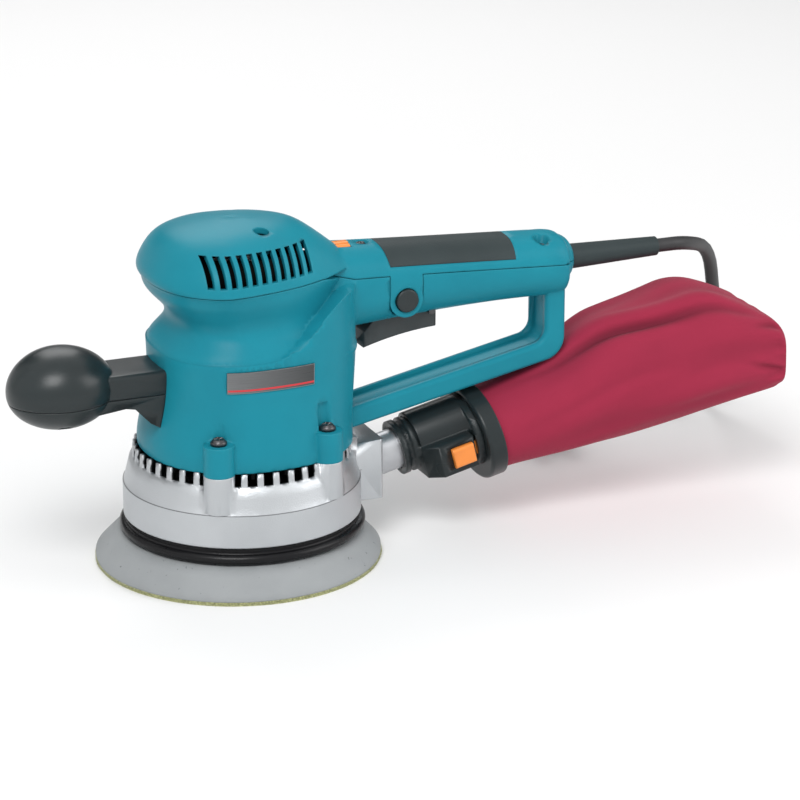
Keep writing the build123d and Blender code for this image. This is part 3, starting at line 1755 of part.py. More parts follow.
def cord_tie():
    """A strap round the bundle of turns."""
    low_r = coil_inner_radius - cord_radius - slip_gap - coil_pitch * 0.5
    high_r = coil_outer_radius + cord_radius + slip_gap
    top = coil_floor_height + coil_layer_rise + cord_radius + slip_gap
    t = tie_thickness
    half = tie_width / 2
    strap = block((low_r - t, high_r + t), (-half, half), (0, top + t))
    strap -= block((low_r, high_r), (-half - through, half + through), (t, top))
    return Pos(*coil_centre, 0) * Rot(0, 0, tie_angle) * strap


plug_half_height = coil_floor_height + coil_layer_rise - plug_drop


def plug_body():
    """A moulded two-pin plug: a round neck that widens into a rounded block."""
    neck = cord_radius + plug_neck_wall
    # Each station: share of the length, half width, half height and the power of its curve.
    stations = [
        (0.0, neck, neck, 2.0),
        (0.3, neck + 1, neck + 0.7, 2.0),
        (0.62, plug_half_width - 1.5, plug_half_height - 1.2, 2.6),
        (1.0, plug_half_width, plug_half_height, 3.2),
    ]
    curves = []
    for share, half_width, half_height, power in stations:
        outline = oval_points(half_height, half_height, half_width, power, power)
        curves.append(closed_curve([(share * plug_length, y, z) for z, y in outline]))
    return Solid.make_loft(curves)


def plug_pins():
    pins = []
    for side in (-1, 1):
        end = plug_length + plug_pin_length
        pin = bar_x(plug_pin_radius, plug_length, end, y=side * plug_pin_spacing / 2)
        pins.append(fillet(pin.edges().sort_by(Axis.X)[-1], plug_pin_round))
    return Compound(pins)


# The assembly


def build():
    handle_form = handle()
    cover = upper_cover(head() + handle_form + collar(), handle_form)
    housing = motor_housing(body_form() + handle_form + collar(), loop())
    grip = front_grip()
    path, start_way, end_way = coil_path()
    coil_start = path @ 0
    coil_end = path @ 1
    route = cord_route(coil_start, start_way)
    radii = route_radii(route)
    cord_path = FilletPolyline(*route, radius=radii)
    cord = swept_cord(cord_path)
    coil = swept_cord(path)
    plug_turn = degrees(atan2(end_way.Y, end_way.X))
    at_plug = Pos(*coil_end) * Rot(0, 0, plug_turn)
    print("cord radii", [round(r, 1) for r in radii])
    print("cord lengths", round(cord_path.length, 1), round(path.length, 1))
    section = pi * cord_radius**2
    print("cord volume ratio", cord.volume / (section * cord_path.length))
    print("coil volume ratio", coil.volume / (section * path.length))
    print("least gap in the coil", round(least_coil_gap(path), 3))
    return {
        "upper_cover": cover,
        "motor_housing": housing,
        "handle_grip": handle_grip(handle_form),
        "nameplate": nameplate(),
        "base_housing": base_housing(),
        "pad_skirt": pad_skirt(),
        "housing_screws": housing_screws(),
        "cover_screws": cover_screws(),
        "front_grip_upper": front_grip_upper(grip),
        "front_grip_lower": front_grip_lower(grip),
        "front_grip_bolt": front_grip_bolt(),
        "grip_screws": grip_screws(),
        "hook_face": hook_face(),
        "pad_foam": pad_foam(),
        "pad_plate": pad_plate(),
        "pad_bolt": pad_bolt(),
        "pad_spindle": pad_spindle(),
        "pad_bearings": pad_bearings(),
        "orbit_hub": orbit_hub(),
        "dust_fan": dust_fan(),
        "armature_shaft": armature_shaft(),
        "armature_core": armature_core(),
        "armature_windings": armature_windings(),
        "commutator": commutator(),
        "cooling_fan": cooling_fan(),
        "lower_bearing": lower_bearing(),
        "upper_bearing": upper_bearing(),
        "bearing_bracket": bearing_bracket(),
        "stator_core": stator_core(),
        "field_windings": field_windings(),
        "brush_holders": brush_holders(),
        "carbon_brushes": carbon_brushes(),
        "trigger": trigger(),
        "trigger_pin": trigger_pin(),
        "switch_body": switch_body(),
        "lock_button": lock_button(),
        "speed_dial": speed_dial(),
        "speed_controller": speed_controller(),
        "cord_clamp": cord_clamp(),
        "dust_nozzle": dust_nozzle(),
        "dust_connector": dust_connector(),
        "bag_latch_near": bag_latch(-1),
        "bag_latch_far": bag_latch(1),
        "bag_frame": bag_frame(),
        "dust_bag": dust_bag(),
        "cord_guard": cord_guard(),
        "power_cord": cord,
        "cord_coil": coil,
        "cord_tie": cord_tie(),
        "plug_body": at_plug * plug_body(),
        "plug_pins": at_plug * plug_pins(),
    }


os.makedirs("parts", exist_ok=True)
for name, shape in build().items():
    export_step(shape, f"parts/{name}.step")
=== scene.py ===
"""Looks for a random orbital sander with a D-handle, a front knob and a cloth dust bag.

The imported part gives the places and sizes, in metres, apart from the felt, the bag and the cord,
which are shaped here. Each section dresses one piece, or a group of like pieces, roughly in the
order in which the tool is put together, from the pad upwards.
"""

import json
import math

import bmesh
import bpy
import numpy as np
from mathutils import Matrix, Vector

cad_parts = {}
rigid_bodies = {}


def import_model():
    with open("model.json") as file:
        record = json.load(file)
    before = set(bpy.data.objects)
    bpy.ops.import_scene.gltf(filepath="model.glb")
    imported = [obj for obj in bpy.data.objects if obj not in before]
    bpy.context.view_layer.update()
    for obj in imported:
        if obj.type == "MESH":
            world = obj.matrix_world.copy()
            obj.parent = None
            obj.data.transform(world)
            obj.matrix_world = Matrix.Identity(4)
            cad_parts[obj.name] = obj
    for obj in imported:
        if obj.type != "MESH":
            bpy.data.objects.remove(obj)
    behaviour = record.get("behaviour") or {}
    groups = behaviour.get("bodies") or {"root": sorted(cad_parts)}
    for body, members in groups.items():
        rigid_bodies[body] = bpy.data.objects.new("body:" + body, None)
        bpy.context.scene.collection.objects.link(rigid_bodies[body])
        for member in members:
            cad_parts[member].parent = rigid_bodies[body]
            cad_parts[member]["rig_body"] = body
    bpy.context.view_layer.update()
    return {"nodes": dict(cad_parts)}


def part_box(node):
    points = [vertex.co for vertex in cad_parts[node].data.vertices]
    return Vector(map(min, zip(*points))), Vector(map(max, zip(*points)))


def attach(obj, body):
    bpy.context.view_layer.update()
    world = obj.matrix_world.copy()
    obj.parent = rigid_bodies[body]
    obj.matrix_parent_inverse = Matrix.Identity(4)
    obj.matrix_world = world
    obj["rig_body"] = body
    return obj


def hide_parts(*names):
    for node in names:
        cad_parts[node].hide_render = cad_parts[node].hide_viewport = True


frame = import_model()


# Hook face of the pad: a thin disc of pale nylon hook cloth, glued under the foam, which holds
# the abrasive discs. Its cut edge is furry.

hook_pale = (0.55, 0.56, 0.27, 1.0)
hook_deep = (0.20, 0.21, 0.10, 1.0)
hook_spacing = 0.0011
hook_patch_scale = 60.0
hook_patch_share = (0.6, 1.3)
nap_count = 1500
nap_length = 0.0011
nap_width = 0.0005
nap_thickness = 0.7
nap_inset = 0.0002
nap_clear = 0.0001
nap_lowest, nap_spread = 0.25, 0.6
nap_shortest, nap_growth = 0.65, 0.35
nap_sway, nap_lift = 0.6, 0.35
# Unlike rates, so that a fibre's level, sway, lift and reach don't repeat together
nap_level_rate, nap_sway_rate, nap_lift_rate, nap_reach_rate = 2.4, 1.7, 0.9, 3.1
weld_distance = 2e-6
# The colour sockets of a Mix node, by number, because its other sockets have the same names
mix_first, mix_second, mix_result = 6, 7, 2


def put(tree, kind, settings=None, **inputs):
    """A node of that kind: settings are its own choices, inputs its sockets by name, where an
    underscore stands for a space. A socket of another node is linked, and a value is set."""
    node = tree.nodes.new(kind)
    for name, value in (settings or {}).items():
        setattr(node, name, value)
    for name, value in inputs.items():
        socket = node.inputs[name.replace("_", " ")]
        if isinstance(value, bpy.types.NodeSocket):
            tree.links.new(value, socket)
        else:
            socket.default_value = value
    return node


def combine(tree, operation, first, second):
    """A Math node on two numbers or sockets."""
    node = tree.nodes.new("ShaderNodeMath")
    node.operation = operation
    for slot, value in enumerate((first, second)):
        if isinstance(value, bpy.types.NodeSocket):
            tree.links.new(value, node.inputs[slot])
        else:
            node.inputs[slot].default_value = value
    return node.outputs[0]


def spread(tree, value, low, high):
    """A value from 0 to 1, spread evenly from low to high."""
    return put(tree, "ShaderNodeMapRange", Value=value, To_Min=low, To_Max=high).outputs["Result"]


def tint(tree, share, first, second):
    """A colour that goes from the first to the second as share goes from 0 to 1."""
    node = tree.nodes.new("ShaderNodeMix")
    node.data_type = "RGBA"
    tree.links.new(share, node.inputs["Factor"])
    for number, colour in ((mix_first, first), (mix_second, second)):
        socket = node.inputs[number]
        if isinstance(colour, bpy.types.NodeSocket):
            tree.links.new(colour, socket)
        else:
            socket.default_value = colour
    return node.outputs[mix_result]


def new_material(name):
    """A material with an empty shader, and its tree, its shader and its object coordinates."""
    material = bpy.data.materials.new(name)
    material.use_nodes = True
    tree = material.node_tree
    shader = tree.nodes["Principled BSDF"]
    place = tree.nodes.new("ShaderNodeTexCoord").outputs["Object"]
    return material, tree, shader, place


def skin_of(node_name, material, crease=32.0):
    """The solid's surface as a welded copy: touching corners are merged, and faces are smooth
    except across edges that turn by more than the crease angle. It stands for the solid."""
    source = frame["nodes"][node_name]
    mesh = bpy.data.meshes.new(node_name + "_skin")
    work = bmesh.new()
    work.from_mesh(source.data)
    bmesh.ops.remove_doubles(work, verts=work.verts, dist=weld_distance)
    work.to_mesh(mesh)
    work.free()
    mesh.materials.clear()
    mesh.materials.append(material)
    mesh.shade_smooth()
    mesh.set_sharp_from_angle(angle=math.radians(crease))
    skin = bpy.data.objects.new(node_name + "_skin", mesh)
    bpy.context.scene.collection.objects.link(skin)
    weighted = skin.modifiers.new("even_faces", "WEIGHTED_NORMAL")
    weighted.keep_sharp = True
    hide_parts(node_name)
    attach(skin, source["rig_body"])
    return skin


def new_piece(name, points, faces, material, body, slot):
    """A piece from rows of points and corner numbers, smooth all over."""
    mesh = bpy.data.meshes.new(name)
    corners = faces if isinstance(faces, list) else faces.tolist()
    mesh.from_pydata(points.tolist(), [], corners)
    mesh.materials.append(material)
    mesh.shade_smooth()
    mesh.update()
    piece = bpy.data.objects.new(name, mesh)
    bpy.context.scene.collection.objects.link(piece)
    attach(piece, body)
    return piece


def hook_cloth():
    """Hook cloth: tiny round loops in close rows, paler at their tips."""
    material, tree, shader, place = new_material("hook_cloth")
    loops = put(tree, "ShaderNodeTexVoronoi", Vector=place, Scale=1 / hook_spacing)
    tips = spread(tree, loops.outputs["Distance"], 1.0, 0.0)
    patches = put(tree, "ShaderNodeTexNoise", Vector=place, Scale=hook_patch_scale, Detail=3.0)
    cloudy = spread(tree, patches.outputs["Fac"], *hook_patch_share)
    mixed = combine(tree, "MULTIPLY", tips, cloudy)
    tree.links.new(tint(tree, mixed, hook_deep, hook_pale), shader.inputs["Base Color"])
    bump = put(tree, "ShaderNodeBump", Strength=0.8, Distance=0.0006, Height=tips)
    tree.links.new(bump.outputs["Normal"], shader.inputs["Normal"])
    shader.inputs["Roughness"].default_value = 0.9
    shader.inputs["Sheen Weight"].default_value = 0.3
    return material


def hook_nap(count, length, width):
    """Short fibres round the disc's edge: each is a thin three-sided spike whose foot lies on the
    edge, at even angles, and whose tip goes outwards. Its level, sway, lift and reach are sine
    waves of its number."""
    low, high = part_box("hook_face")
    centre = (low + high) / 2
    radius = (high.x - low.x) / 2 - nap_inset
    k = np.arange(count)
    angle = 2 * np.pi * k / count
    level_share = nap_lowest + nap_spread * np.abs(np.sin(k * nap_level_rate))
    level = low.z + (high.z - low.z) * level_share
    out = np.stack([np.cos(angle), np.sin(angle), np.zeros(count)], 1)
    side = np.stack([-np.sin(angle), np.cos(angle), np.zeros(count)], 1)
    up = np.array([0.0, 0.0, 1.0])
    foot = np.array([centre.x, centre.y, 0.0]) + out * radius + up * level[:, None]
    sway = side * (nap_sway * np.sin(k * nap_sway_rate))[:, None]
    sway = sway + up * (nap_lift * np.sin(k * nap_lift_rate))[:, None]
    reach = length * (nap_shortest + nap_growth * np.sin(k * nap_reach_rate) ** 2)
    tip = foot + (out + sway) * reach[:, None]
    tip[:, 2] = np.clip(tip[:, 2], low.z + nap_clear, high.z)
    ridge = foot + up * width * nap_thickness
    corners = [foot + side * width / 2, foot - side * width / 2, ridge, tip]
    points = np.stack(corners, 1).reshape(-1, 3)
    one = np.array([[0, 1, 3], [1, 2, 3], [2, 0, 3]])
    faces = (one[None, :, :] + 4 * k[:, None, None]).reshape(-1, 3)
    return points, faces


hook_material = hook_cloth()
skin_of("hook_face", hook_material)
new_piece("hook_nap", *hook_nap(nap_count, nap_length, nap_width), hook_material, "pad", "hook")


# Pad foam: a flared ring of closed-cell foam with a smooth grey moulded skin, bonded to the
# plate. The skin has a faint pebble, soft grey clouds and a few small dark marks.

foam_grey = (0.255, 0.270, 0.278, 1.0)
foam_light = (0.345, 0.362, 0.370, 1.0)
foam_mark = (0.13, 0.135, 0.14, 1.0)
foam_speck_scale = 420.0
foam_speck_begins, foam_speck_full = 0.70, 0.75
edge_radius = 0.0006
patch_size = 0.03
# The cosine of a rounded edge's lean from its face where wear begins, and where it is full
wear_begins, wear_full = 0.99, 0.72


def grain_group():
    """Two sizes of noise on object coordinates: fine grain for relief, and broad patches for
    colour and gloss. Each size is in metres."""
    group = bpy.data.node_groups.new("grain", "ShaderNodeTree")
    for name, size in (("Grain Size", 0.0005), ("Patch Size", patch_size)):
        socket = group.interface.new_socket(name, in_out="INPUT", socket_type="NodeSocketFloat")
        socket.default_value = size
    for name in ("Grain", "Patches"):
        group.interface.new_socket(name, in_out="OUTPUT", socket_type="NodeSocketFloat")
    given = group.nodes.new("NodeGroupInput").outputs
    result = group.nodes.new("NodeGroupOutput").inputs
    place = group.nodes.new("ShaderNodeTexCoord").outputs["Object"]
    for name, size, detail in (("Grain", "Grain Size", 2.0), ("Patches", "Patch Size", 4.0)):
        scale = combine(group, "DIVIDE", 1.0, given[size])
        noise = put(group, "ShaderNodeTexNoise", Vector=place, Scale=scale, Detail=detail)
        group.links.new(noise.outputs["Fac"], result[name])
    return group


def edge_group():
    """Rounded edges: the normal of a small radius where faces meet, and a mask that is 1 on the
    edges, from how far that normal leans away from the face."""
    group = bpy.data.node_groups.new("edges", "ShaderNodeTree")
    socket = group.interface.new_socket("Radius", in_out="INPUT", socket_type="NodeSocketFloat")
    socket.default_value = edge_radius
    group.interface.new_socket("Normal", in_out="OUTPUT", socket_type="NodeSocketVector")
    group.interface.new_socket("Wear", in_out="OUTPUT", socket_type="NodeSocketFloat")
    given = group.nodes.new("NodeGroupInput").outputs
    result = group.nodes.new("NodeGroupOutput").inputs
    rounded = put(group, "ShaderNodeBevel", {"samples": 6}, Radius=given["Radius"])
    flat = group.nodes.new("ShaderNodeNewGeometry").outputs["Normal"]
    lean = group.nodes.new("ShaderNodeVectorMath")
    lean.operation = "DOT_PRODUCT"
    group.links.new(rounded.outputs["Normal"], lean.inputs[0])
    group.links.new(flat, lean.inputs[1])
    mask = put(
        group,
        "ShaderNodeMapRange",
        Value=lean.outputs["Value"],
        From_Min=wear_begins,
        From_Max=wear_full,
    )
    group.links.new(rounded.outputs["Normal"], result["Normal"])
    group.links.new(mask.outputs["Result"], result["Wear"])
    return group


grain = grain_group()
edges = edge_group()


def moulded(
    name,
    deep,
    light,
    worn,
    gloss,
    grain_size,
    relief,
    edge=edge_radius,
    metal=0.0,
    patch=patch_size,
    mirror=0.5,
):
    """A grained finish: colour between deep and light by broad patches, worn on the edges;
    gloss is the (lowest, highest) roughness; relief is the depth of the grain; mirror is how
    strongly a surface that isn't metal reflects."""
    material, tree, shader, _ = new_material(name)
    grains = put(
        tree,
        "ShaderNodeGroup",
        {"node_tree": grain},
        Grain_Size=grain_size,
        Patch_Size=patch,
    )
    corner = put(tree, "ShaderNodeGroup", {"node_tree": edges}, Radius=edge)
    base = tint(tree, spread(tree, grains.outputs["Patches"], 0.0, 1.0), deep, light)
    rubbed = combine(tree, "MULTIPLY", corner.outputs["Wear"], grains.outputs["Patches"])
    tree.links.new(tint(tree, rubbed, base, worn), shader.inputs["Base Color"])
    tree.links.new(spread(tree, grains.outputs["Patches"], *gloss), shader.inputs["Roughness"])
    fine = grains.outputs["Grain"]
    bump = put(tree, "ShaderNodeBump", Strength=1.0, Distance=relief, Height=fine)
    tree.links.new(corner.outputs["Normal"], bump.inputs["Normal"])
    tree.links.new(bump.outputs["Normal"], shader.inputs["Normal"])
    shader.inputs["Metallic"].default_value = metal
    shader.inputs["Specular IOR Level"].default_value = mirror
    return material


def opened(material):
    """A finish to add to: its tree, its shader, the socket that colours it and its object
    coordinates."""
    tree = material.node_tree
    shader = tree.nodes["Principled BSDF"]
    base = shader.inputs["Base Color"].links[0].from_socket
    place = tree.nodes["Texture Coordinate"].outputs["Object"]
    return tree, shader, base, place


def foam_skin():
    """The grey foam: the grained finish with a few sharp dark specks, where a noise is high."""
    material = moulded(
        "foam_skin", foam_grey, foam_light, foam_light,
        gloss=(0.5, 0.68), grain_size=0.0012, relief=0.00008, edge=0.001, mirror=0.25,
    )
    tree, shader, base, place = opened(material)
    specks = put(tree, "ShaderNodeTexNoise", Vector=place, Scale=foam_speck_scale, Detail=4.0)
    marks = put(
        tree,
        "ShaderNodeMapRange",
        Value=specks.outputs["Fac"],
        From_Min=foam_speck_begins,
        From_Max=foam_speck_full,
    ).outputs["Result"]
    tree.links.new(tint(tree, marks, base, foam_mark), shader.inputs["Base Color"])
    return material


skin_of("pad_foam", foam_skin())


# Pad plate, hub, spindle and bearings: the stamped alloy plate inside the pad, the cast hub that
# drives it, and the turned steel pieces that carry them. The motor's shaft and the knob's bolt are
# of the same steel. All are bare metal with fine tool marks.

steel_bright = (0.56, 0.56, 0.58, 1.0)
steel_shade = (0.40, 0.40, 0.42, 1.0)

steel = moulded(
    "machined_steel", steel_shade, steel_bright, steel_bright,
    gloss=(0.25, 0.4), grain_size=0.0004, relief=0.00002, metal=1.0,
)
alloy = moulded(
    "plain_alloy", steel_shade, steel_bright, steel_bright,
    gloss=(0.4, 0.55), grain_size=0.0008, relief=0.00005, metal=1.0,
)


def painted(material, slot, *names):
    """Puts a finish on the solids themselves, for pieces that are hidden or small."""
    for name in names:
        node = frame["nodes"][name]
        node.data.materials.clear()
        node.data.materials.append(material)


painted(steel, "steel", "pad_bolt", "pad_spindle", "pad_bearings", "lower_bearing", "upper_bearing")
painted(steel, "steel", "armature_shaft", "front_grip_bolt")
painted(alloy, "plate_alloy", "pad_plate")
painted(alloy, "hub_alloy", "orbit_hub")


# Motor and switch: stacked iron cores, varnished copper coils, brass brush holders with carbon
# brushes, moulded fans, and the black mouldings of the bearing bracket, the switch, the speed
# control and the cord clamp. All of it sits inside the housing.

iron_dark = (0.16, 0.16, 0.17, 1.0)
iron_light = (0.27, 0.27, 0.28, 1.0)
copper_deep = (0.34, 0.11, 0.04, 1.0)
copper_light = (0.60, 0.25, 0.10, 1.0)
brass_deep = (0.20, 0.14, 0.05, 1.0)
brass_light = (0.34, 0.25, 0.10, 1.0)
inside_black = (0.018, 0.018, 0.019, 1.0)
inside_grey = (0.035, 0.035, 0.037, 1.0)

iron = moulded(
    "stacked_iron", iron_dark, iron_light, iron_light,
    gloss=(0.45, 0.6), grain_size=0.0005, relief=0.00006, metal=1.0,
)
copper = moulded(
    "varnished_copper", copper_deep, copper_light, copper_light,
    gloss=(0.3, 0.45), grain_size=0.0006, relief=0.0001, metal=1.0,
)
brass = moulded(
    "drawn_brass", brass_deep, brass_light, brass_light,
    gloss=(0.28, 0.4), grain_size=0.0005, relief=0.00002, metal=1.0,
)
inside = moulded(
    "inside_plastic", inside_black, inside_grey, inside_grey,
    gloss=(0.5, 0.65), grain_size=0.0005, relief=0.00003,
)

painted(iron, "lamination", "armature_core", "stator_core")
painted(copper, "copper", "armature_windings", "commutator", "field_windings")
painted(brass, "brass", "brush_holders")
painted(inside, "carbon", "carbon_brushes")
painted(inside, "fan_plastic", "cooling_fan", "dust_fan", "bearing_bracket")
painted(inside, "fan_plastic", "switch_body", "speed_controller", "cord_clamp")


# Vent shade felt: a ring of black felt that stands on the bearing bracket inside the head, behind
# the vents. It is a dark sheet put there as painted shade, so that the vent slots read dark and no
# light passes through the head.

# Near-black felt: painted shade behind the vents
felt_black = (0.006, 0.006, 0.006, 1.0)
felt_grey = (0.014, 0.014, 0.013, 1.0)
felt_radius = 0.033
felt_wall = 0.0008
felt_foot = 0.1525
felt_top = 0.169
felt_corners = 96


def felt_ring():
    """A tube with a wall: circles at the inner and outer foot and the outer and inner top, each
    joined to the next and the last to the first."""
    inner = felt_radius - felt_wall
    angle = 2 * np.pi * np.arange(felt_corners) / felt_corners
    circles = [
        (inner, felt_foot),
        (felt_radius, felt_foot),
        (felt_radius, felt_top),
        (inner, felt_top),
    ]
    points = []
    for radius, level in circles:
        height = np.full(felt_corners, level)
        points.append(np.stack([radius * np.cos(angle), radius * np.sin(angle), height], 1))
    here = np.arange(len(circles))[:, None] * felt_corners
    after = np.roll(here, -1, axis=0)
    corner = np.arange(felt_corners)[None, :]
    beside = (corner + 1) % felt_corners
    faces = np.stack([here + corner, here + beside, after + beside, after + corner], 2)
    return np.concatenate(points), faces.reshape(-1, 4)


felt = moulded(
    "vent_shade_felt", felt_black, felt_grey, felt_grey,
    gloss=(0.85, 0.95), grain_size=0.0006, relief=0.0001, mirror=0.1,
)
new_piece("vent_shade_felt", *felt_ring(), felt, "housing", "fan_plastic")


# Pad skirt: a black moulded rubber bellows between the base and the pad, with a round bead. It
# is smooth and a little shiny.

skirt_black = (0.004, 0.004, 0.005, 1.0)
skirt_grey = (0.009, 0.009, 0.010, 1.0)

skirt_rubber = moulded(
    "skirt_rubber", skirt_black, skirt_grey, skirt_grey,
    gloss=(0.22, 0.32), grain_size=0.0006, relief=0.00002, mirror=0.2,
)
skin_of("pad_skirt", skirt_rubber)


# Base casting: the die-cast alloy base with its ring of vent fins and the square dust outlet,
# sprayed with silver paint. The paint has a fine sandy sparkle and is thin on the edges. The metal
# behind the fins is darkened with painted shade, and a painted shadow lies as a fine line in the
# step round the foot.

silver_deep = (0.42, 0.440, 0.458, 1.0)
silver_light = (0.56, 0.580, 0.598, 1.0)
silver_worn = (0.72, 0.73, 0.74, 1.0)
# Colour of the painted shade behind the fins and of the painted shadow line in the step
silver_painted_shade = (0.035, 0.037, 0.039, 1.0)
fin_foot_radius = 0.0562
fin_shade_fade = 0.0008
step_level = 0.0433
step_line = 0.0002
step_radius = 0.0632
step_shadow_strength = 0.6
base_crease = 38.0


def base_paint():
    """The silver paint: the grained finish, darkened with painted shade where the distance from the
    motor's axis is less than that of the fins' feet, and with a painted shadow line along the
    step, which is a band of height within a radius."""
    material = moulded(
        "cast_silver", silver_deep, silver_light, silver_worn,
        gloss=(0.34, 0.46), grain_size=0.0006, relief=0.00012, edge=0.0009, metal=0.88,
    )
    tree, shader, base, place = opened(material)
    height = put(tree, "ShaderNodeSeparateXYZ", Vector=place).outputs["Z"]
    level = put(tree, "ShaderNodeMapping", Vector=place, Scale=(1.0, 1.0, 0.0)).outputs["Vector"]
    distance = put(tree, "ShaderNodeVectorMath", {"operation": "LENGTH"}, Vector=level)
    radius = distance.outputs["Value"]
    # Painted shade: the metal inside the fins' feet is darkened, so the gaps between the fins read
    # dark
    behind = put(
        tree,
        "ShaderNodeMapRange",
        Value=radius,
        From_Min=fin_foot_radius,
        From_Max=fin_foot_radius - fin_shade_fade,
    ).outputs["Result"]
    # Painted shadow: a thin dark line along the step round the foot
    off = combine(tree, "ABSOLUTE", combine(tree, "SUBTRACT", height, step_level), 0.0)
    line = combine(tree, "MULTIPLY", combine(tree, "LESS_THAN", off, step_line), step_shadow_strength)
    line = combine(tree, "MULTIPLY", line, combine(tree, "LESS_THAN", radius, step_radius))
    painted_shade = combine(tree, "MAXIMUM", behind, line)
    tree.links.new(tint(tree, painted_shade, base, silver_painted_shade), shader.inputs["Base Color"])
    return material


skin_of("base_housing", base_paint(), base_crease)


# Dust nozzle: a short turned tube in the outlet, satin grey metal, on which the bag's connector
# is pushed.

tube_deep = (0.42, 0.43, 0.45, 1.0)
tube_light = (0.54, 0.55, 0.57, 1.0)

tube_metal = moulded(
    "tube_metal", tube_deep, tube_light, silver_worn,
    gloss=(0.3, 0.42), grain_size=0.0006, relief=0.00003, metal=0.8,
)
skin_of("dust_nozzle", tube_metal)


# Motor housing with its handle and D-loop, and the cover over motor and handle: two mouldings in
# teal plastic with a satin grain, split along a fine seam that shows between them.

teal_deep = (0.009, 0.185, 0.250, 1.0)
teal_light = (0.012, 0.245, 0.320, 1.0)
teal_worn = (0.04, 0.33, 0.42, 1.0)

teal = moulded(
    "teal_plastic", teal_deep, teal_light, teal_worn,
    gloss=(0.32, 0.42), grain_size=0.0006, relief=0.00004, edge=0.0012, mirror=0.12,
)
skin_of("motor_housing", teal)
skin_of("upper_cover", teal)


# Housing, cover and knob screws: blackened steel pan heads with a cross recess, sunk in their
# wells. The trigger's pin is of the same blackened steel.

screw_black = (0.045, 0.045, 0.047, 1.0)
screw_grey = (0.12, 0.12, 0.125, 1.0)
screw_worn = (0.30, 0.30, 0.30, 1.0)

screw_steel = moulded(
    "black_steel", screw_black, screw_grey, screw_worn,
    gloss=(0.25, 0.4), grain_size=0.0004, relief=0.00002, edge=0.0003, metal=0.9, patch=0.002,
)
for name in ("housing_screws", "cover_screws", "grip_screws"):
    skin_of(name, screw_steel)
painted(screw_steel, "steel", "trigger_pin")


# Nameplate: a thin printed plate let into the barrel, left without words. It is dark grey with
# brushed lines, a painted sheen that lightens the left end, a fine silver edge, and one red line
# along its foot.

plate_dark = (0.030, 0.033, 0.035, 1.0)
plate_painted_sheen = (0.15, 0.155, 0.16, 1.0)
plate_silver = (0.20, 0.21, 0.215, 1.0)
plate_red = (0.55, 0.02, 0.03, 1.0)
plate_edge = 0.0003
stripe_foot = 0.0011
stripe_height = 0.0010
brush_scale = (40.0, 40.0, 4000.0)
brush_share = (0.5, 1.2)
plate_gloss = (0.22, 0.38)
plate_rim_metal = 0.8


def plate_print():
    """The print by place on the plate, where x and z are measured from its own box: a painted sheen
    that fades from the left end to the right, broken by brushed lines along it, the red line and
    the edge."""
    low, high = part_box("nameplate")
    material, tree, shader, place = new_material("plate_print")
    axes = put(tree, "ShaderNodeSeparateXYZ", Vector=place).outputs
    brushed = put(tree, "ShaderNodeMapping", Vector=place, Scale=brush_scale)
    lines = put(tree, "ShaderNodeTexNoise", Vector=brushed.outputs["Vector"], Scale=1.0, Detail=2.0)
    # Painted sheen: lighter towards the left end, through the brushed lines
    fade = put(
        tree, "ShaderNodeMapRange", Value=axes["X"], From_Min=high.x, From_Max=low.x
    ).outputs["Result"]
    painted_sheen = combine(tree, "MULTIPLY", fade, spread(tree, lines.outputs["Fac"], *brush_share))
    base = tint(tree, painted_sheen, plate_dark, plate_painted_sheen)
    foot = low.z + stripe_foot
    above = combine(tree, "GREATER_THAN", axes["Z"], foot)
    below = combine(tree, "LESS_THAN", axes["Z"], foot + stripe_height)
    base = tint(tree, combine(tree, "MULTIPLY", above, below), base, plate_red)
    rims = [
        combine(tree, "LESS_THAN", axes["Z"], low.z + plate_edge),
        combine(tree, "GREATER_THAN", axes["Z"], high.z - plate_edge),
        combine(tree, "LESS_THAN", axes["X"], low.x + plate_edge),
        combine(tree, "GREATER_THAN", axes["X"], high.x - plate_edge),
    ]
    rim = rims[0]
    for other in rims[1:]:
        rim = combine(tree, "MAXIMUM", rim, other)
    tree.links.new(tint(tree, rim, base, plate_silver), shader.inputs["Base Color"])
    tree.links.new(spread(tree, lines.outputs["Fac"], *plate_gloss), shader.inputs["Roughness"])
    tree.links.new(combine(tree, "MULTIPLY", rim, plate_rim_metal), shader.inputs["Metallic"])
    bump = put(tree, "ShaderNodeBump", Strength=0.3, Distance=0.00002, Height=lines.outputs["Fac"])
    tree.links.new(bump.outputs["Normal"], shader.inputs["Normal"])
    return material


skin_of("nameplate", plate_print())


# Handle grip: a soft black rubber panel moulded over the top of the handle, with a fine leathery
# grain and a dull shine. The cord's guard is of the same rubber.

rubber_black = (0.022, 0.031, 0.033, 1.0)
rubber_grey = (0.040, 0.054, 0.056, 1.0)

grip_rubber = moulded(
    "grip_rubber", rubber_black, rubber_grey, rubber_grey,
    gloss=(0.42, 0.55), grain_size=0.0009, relief=0.00009, edge=0.0008, mirror=0.2,
)
skin_of("handle_grip", grip_rubber)
skin_of("cord_guard", grip_rubber)


# Front knob and neck: two black mouldings screwed together round a bolt, with a fine seam, a
# satin grain and lighter, rubbed edges.

knob_black = (0.009, 0.014, 0.015, 1.0)
knob_grey = (0.018, 0.026, 0.028, 1.0)
knob_worn = (0.045, 0.056, 0.059, 1.0)

knob_plastic = moulded(
    "knob_plastic", knob_black, knob_grey, knob_worn,
    gloss=(0.27, 0.38), grain_size=0.0006, relief=0.00005, edge=0.0012, mirror=0.4,
)
skin_of("front_grip_upper", knob_plastic)
skin_of("front_grip_lower", knob_plastic)


# Trigger and lock button: a dark grey moulded finger lever under the handle, and a round black
# button in the tab on its side, of the knob's plastic.

lever_dark = (0.034, 0.040, 0.042, 1.0)
lever_grey = (0.054, 0.062, 0.064, 1.0)

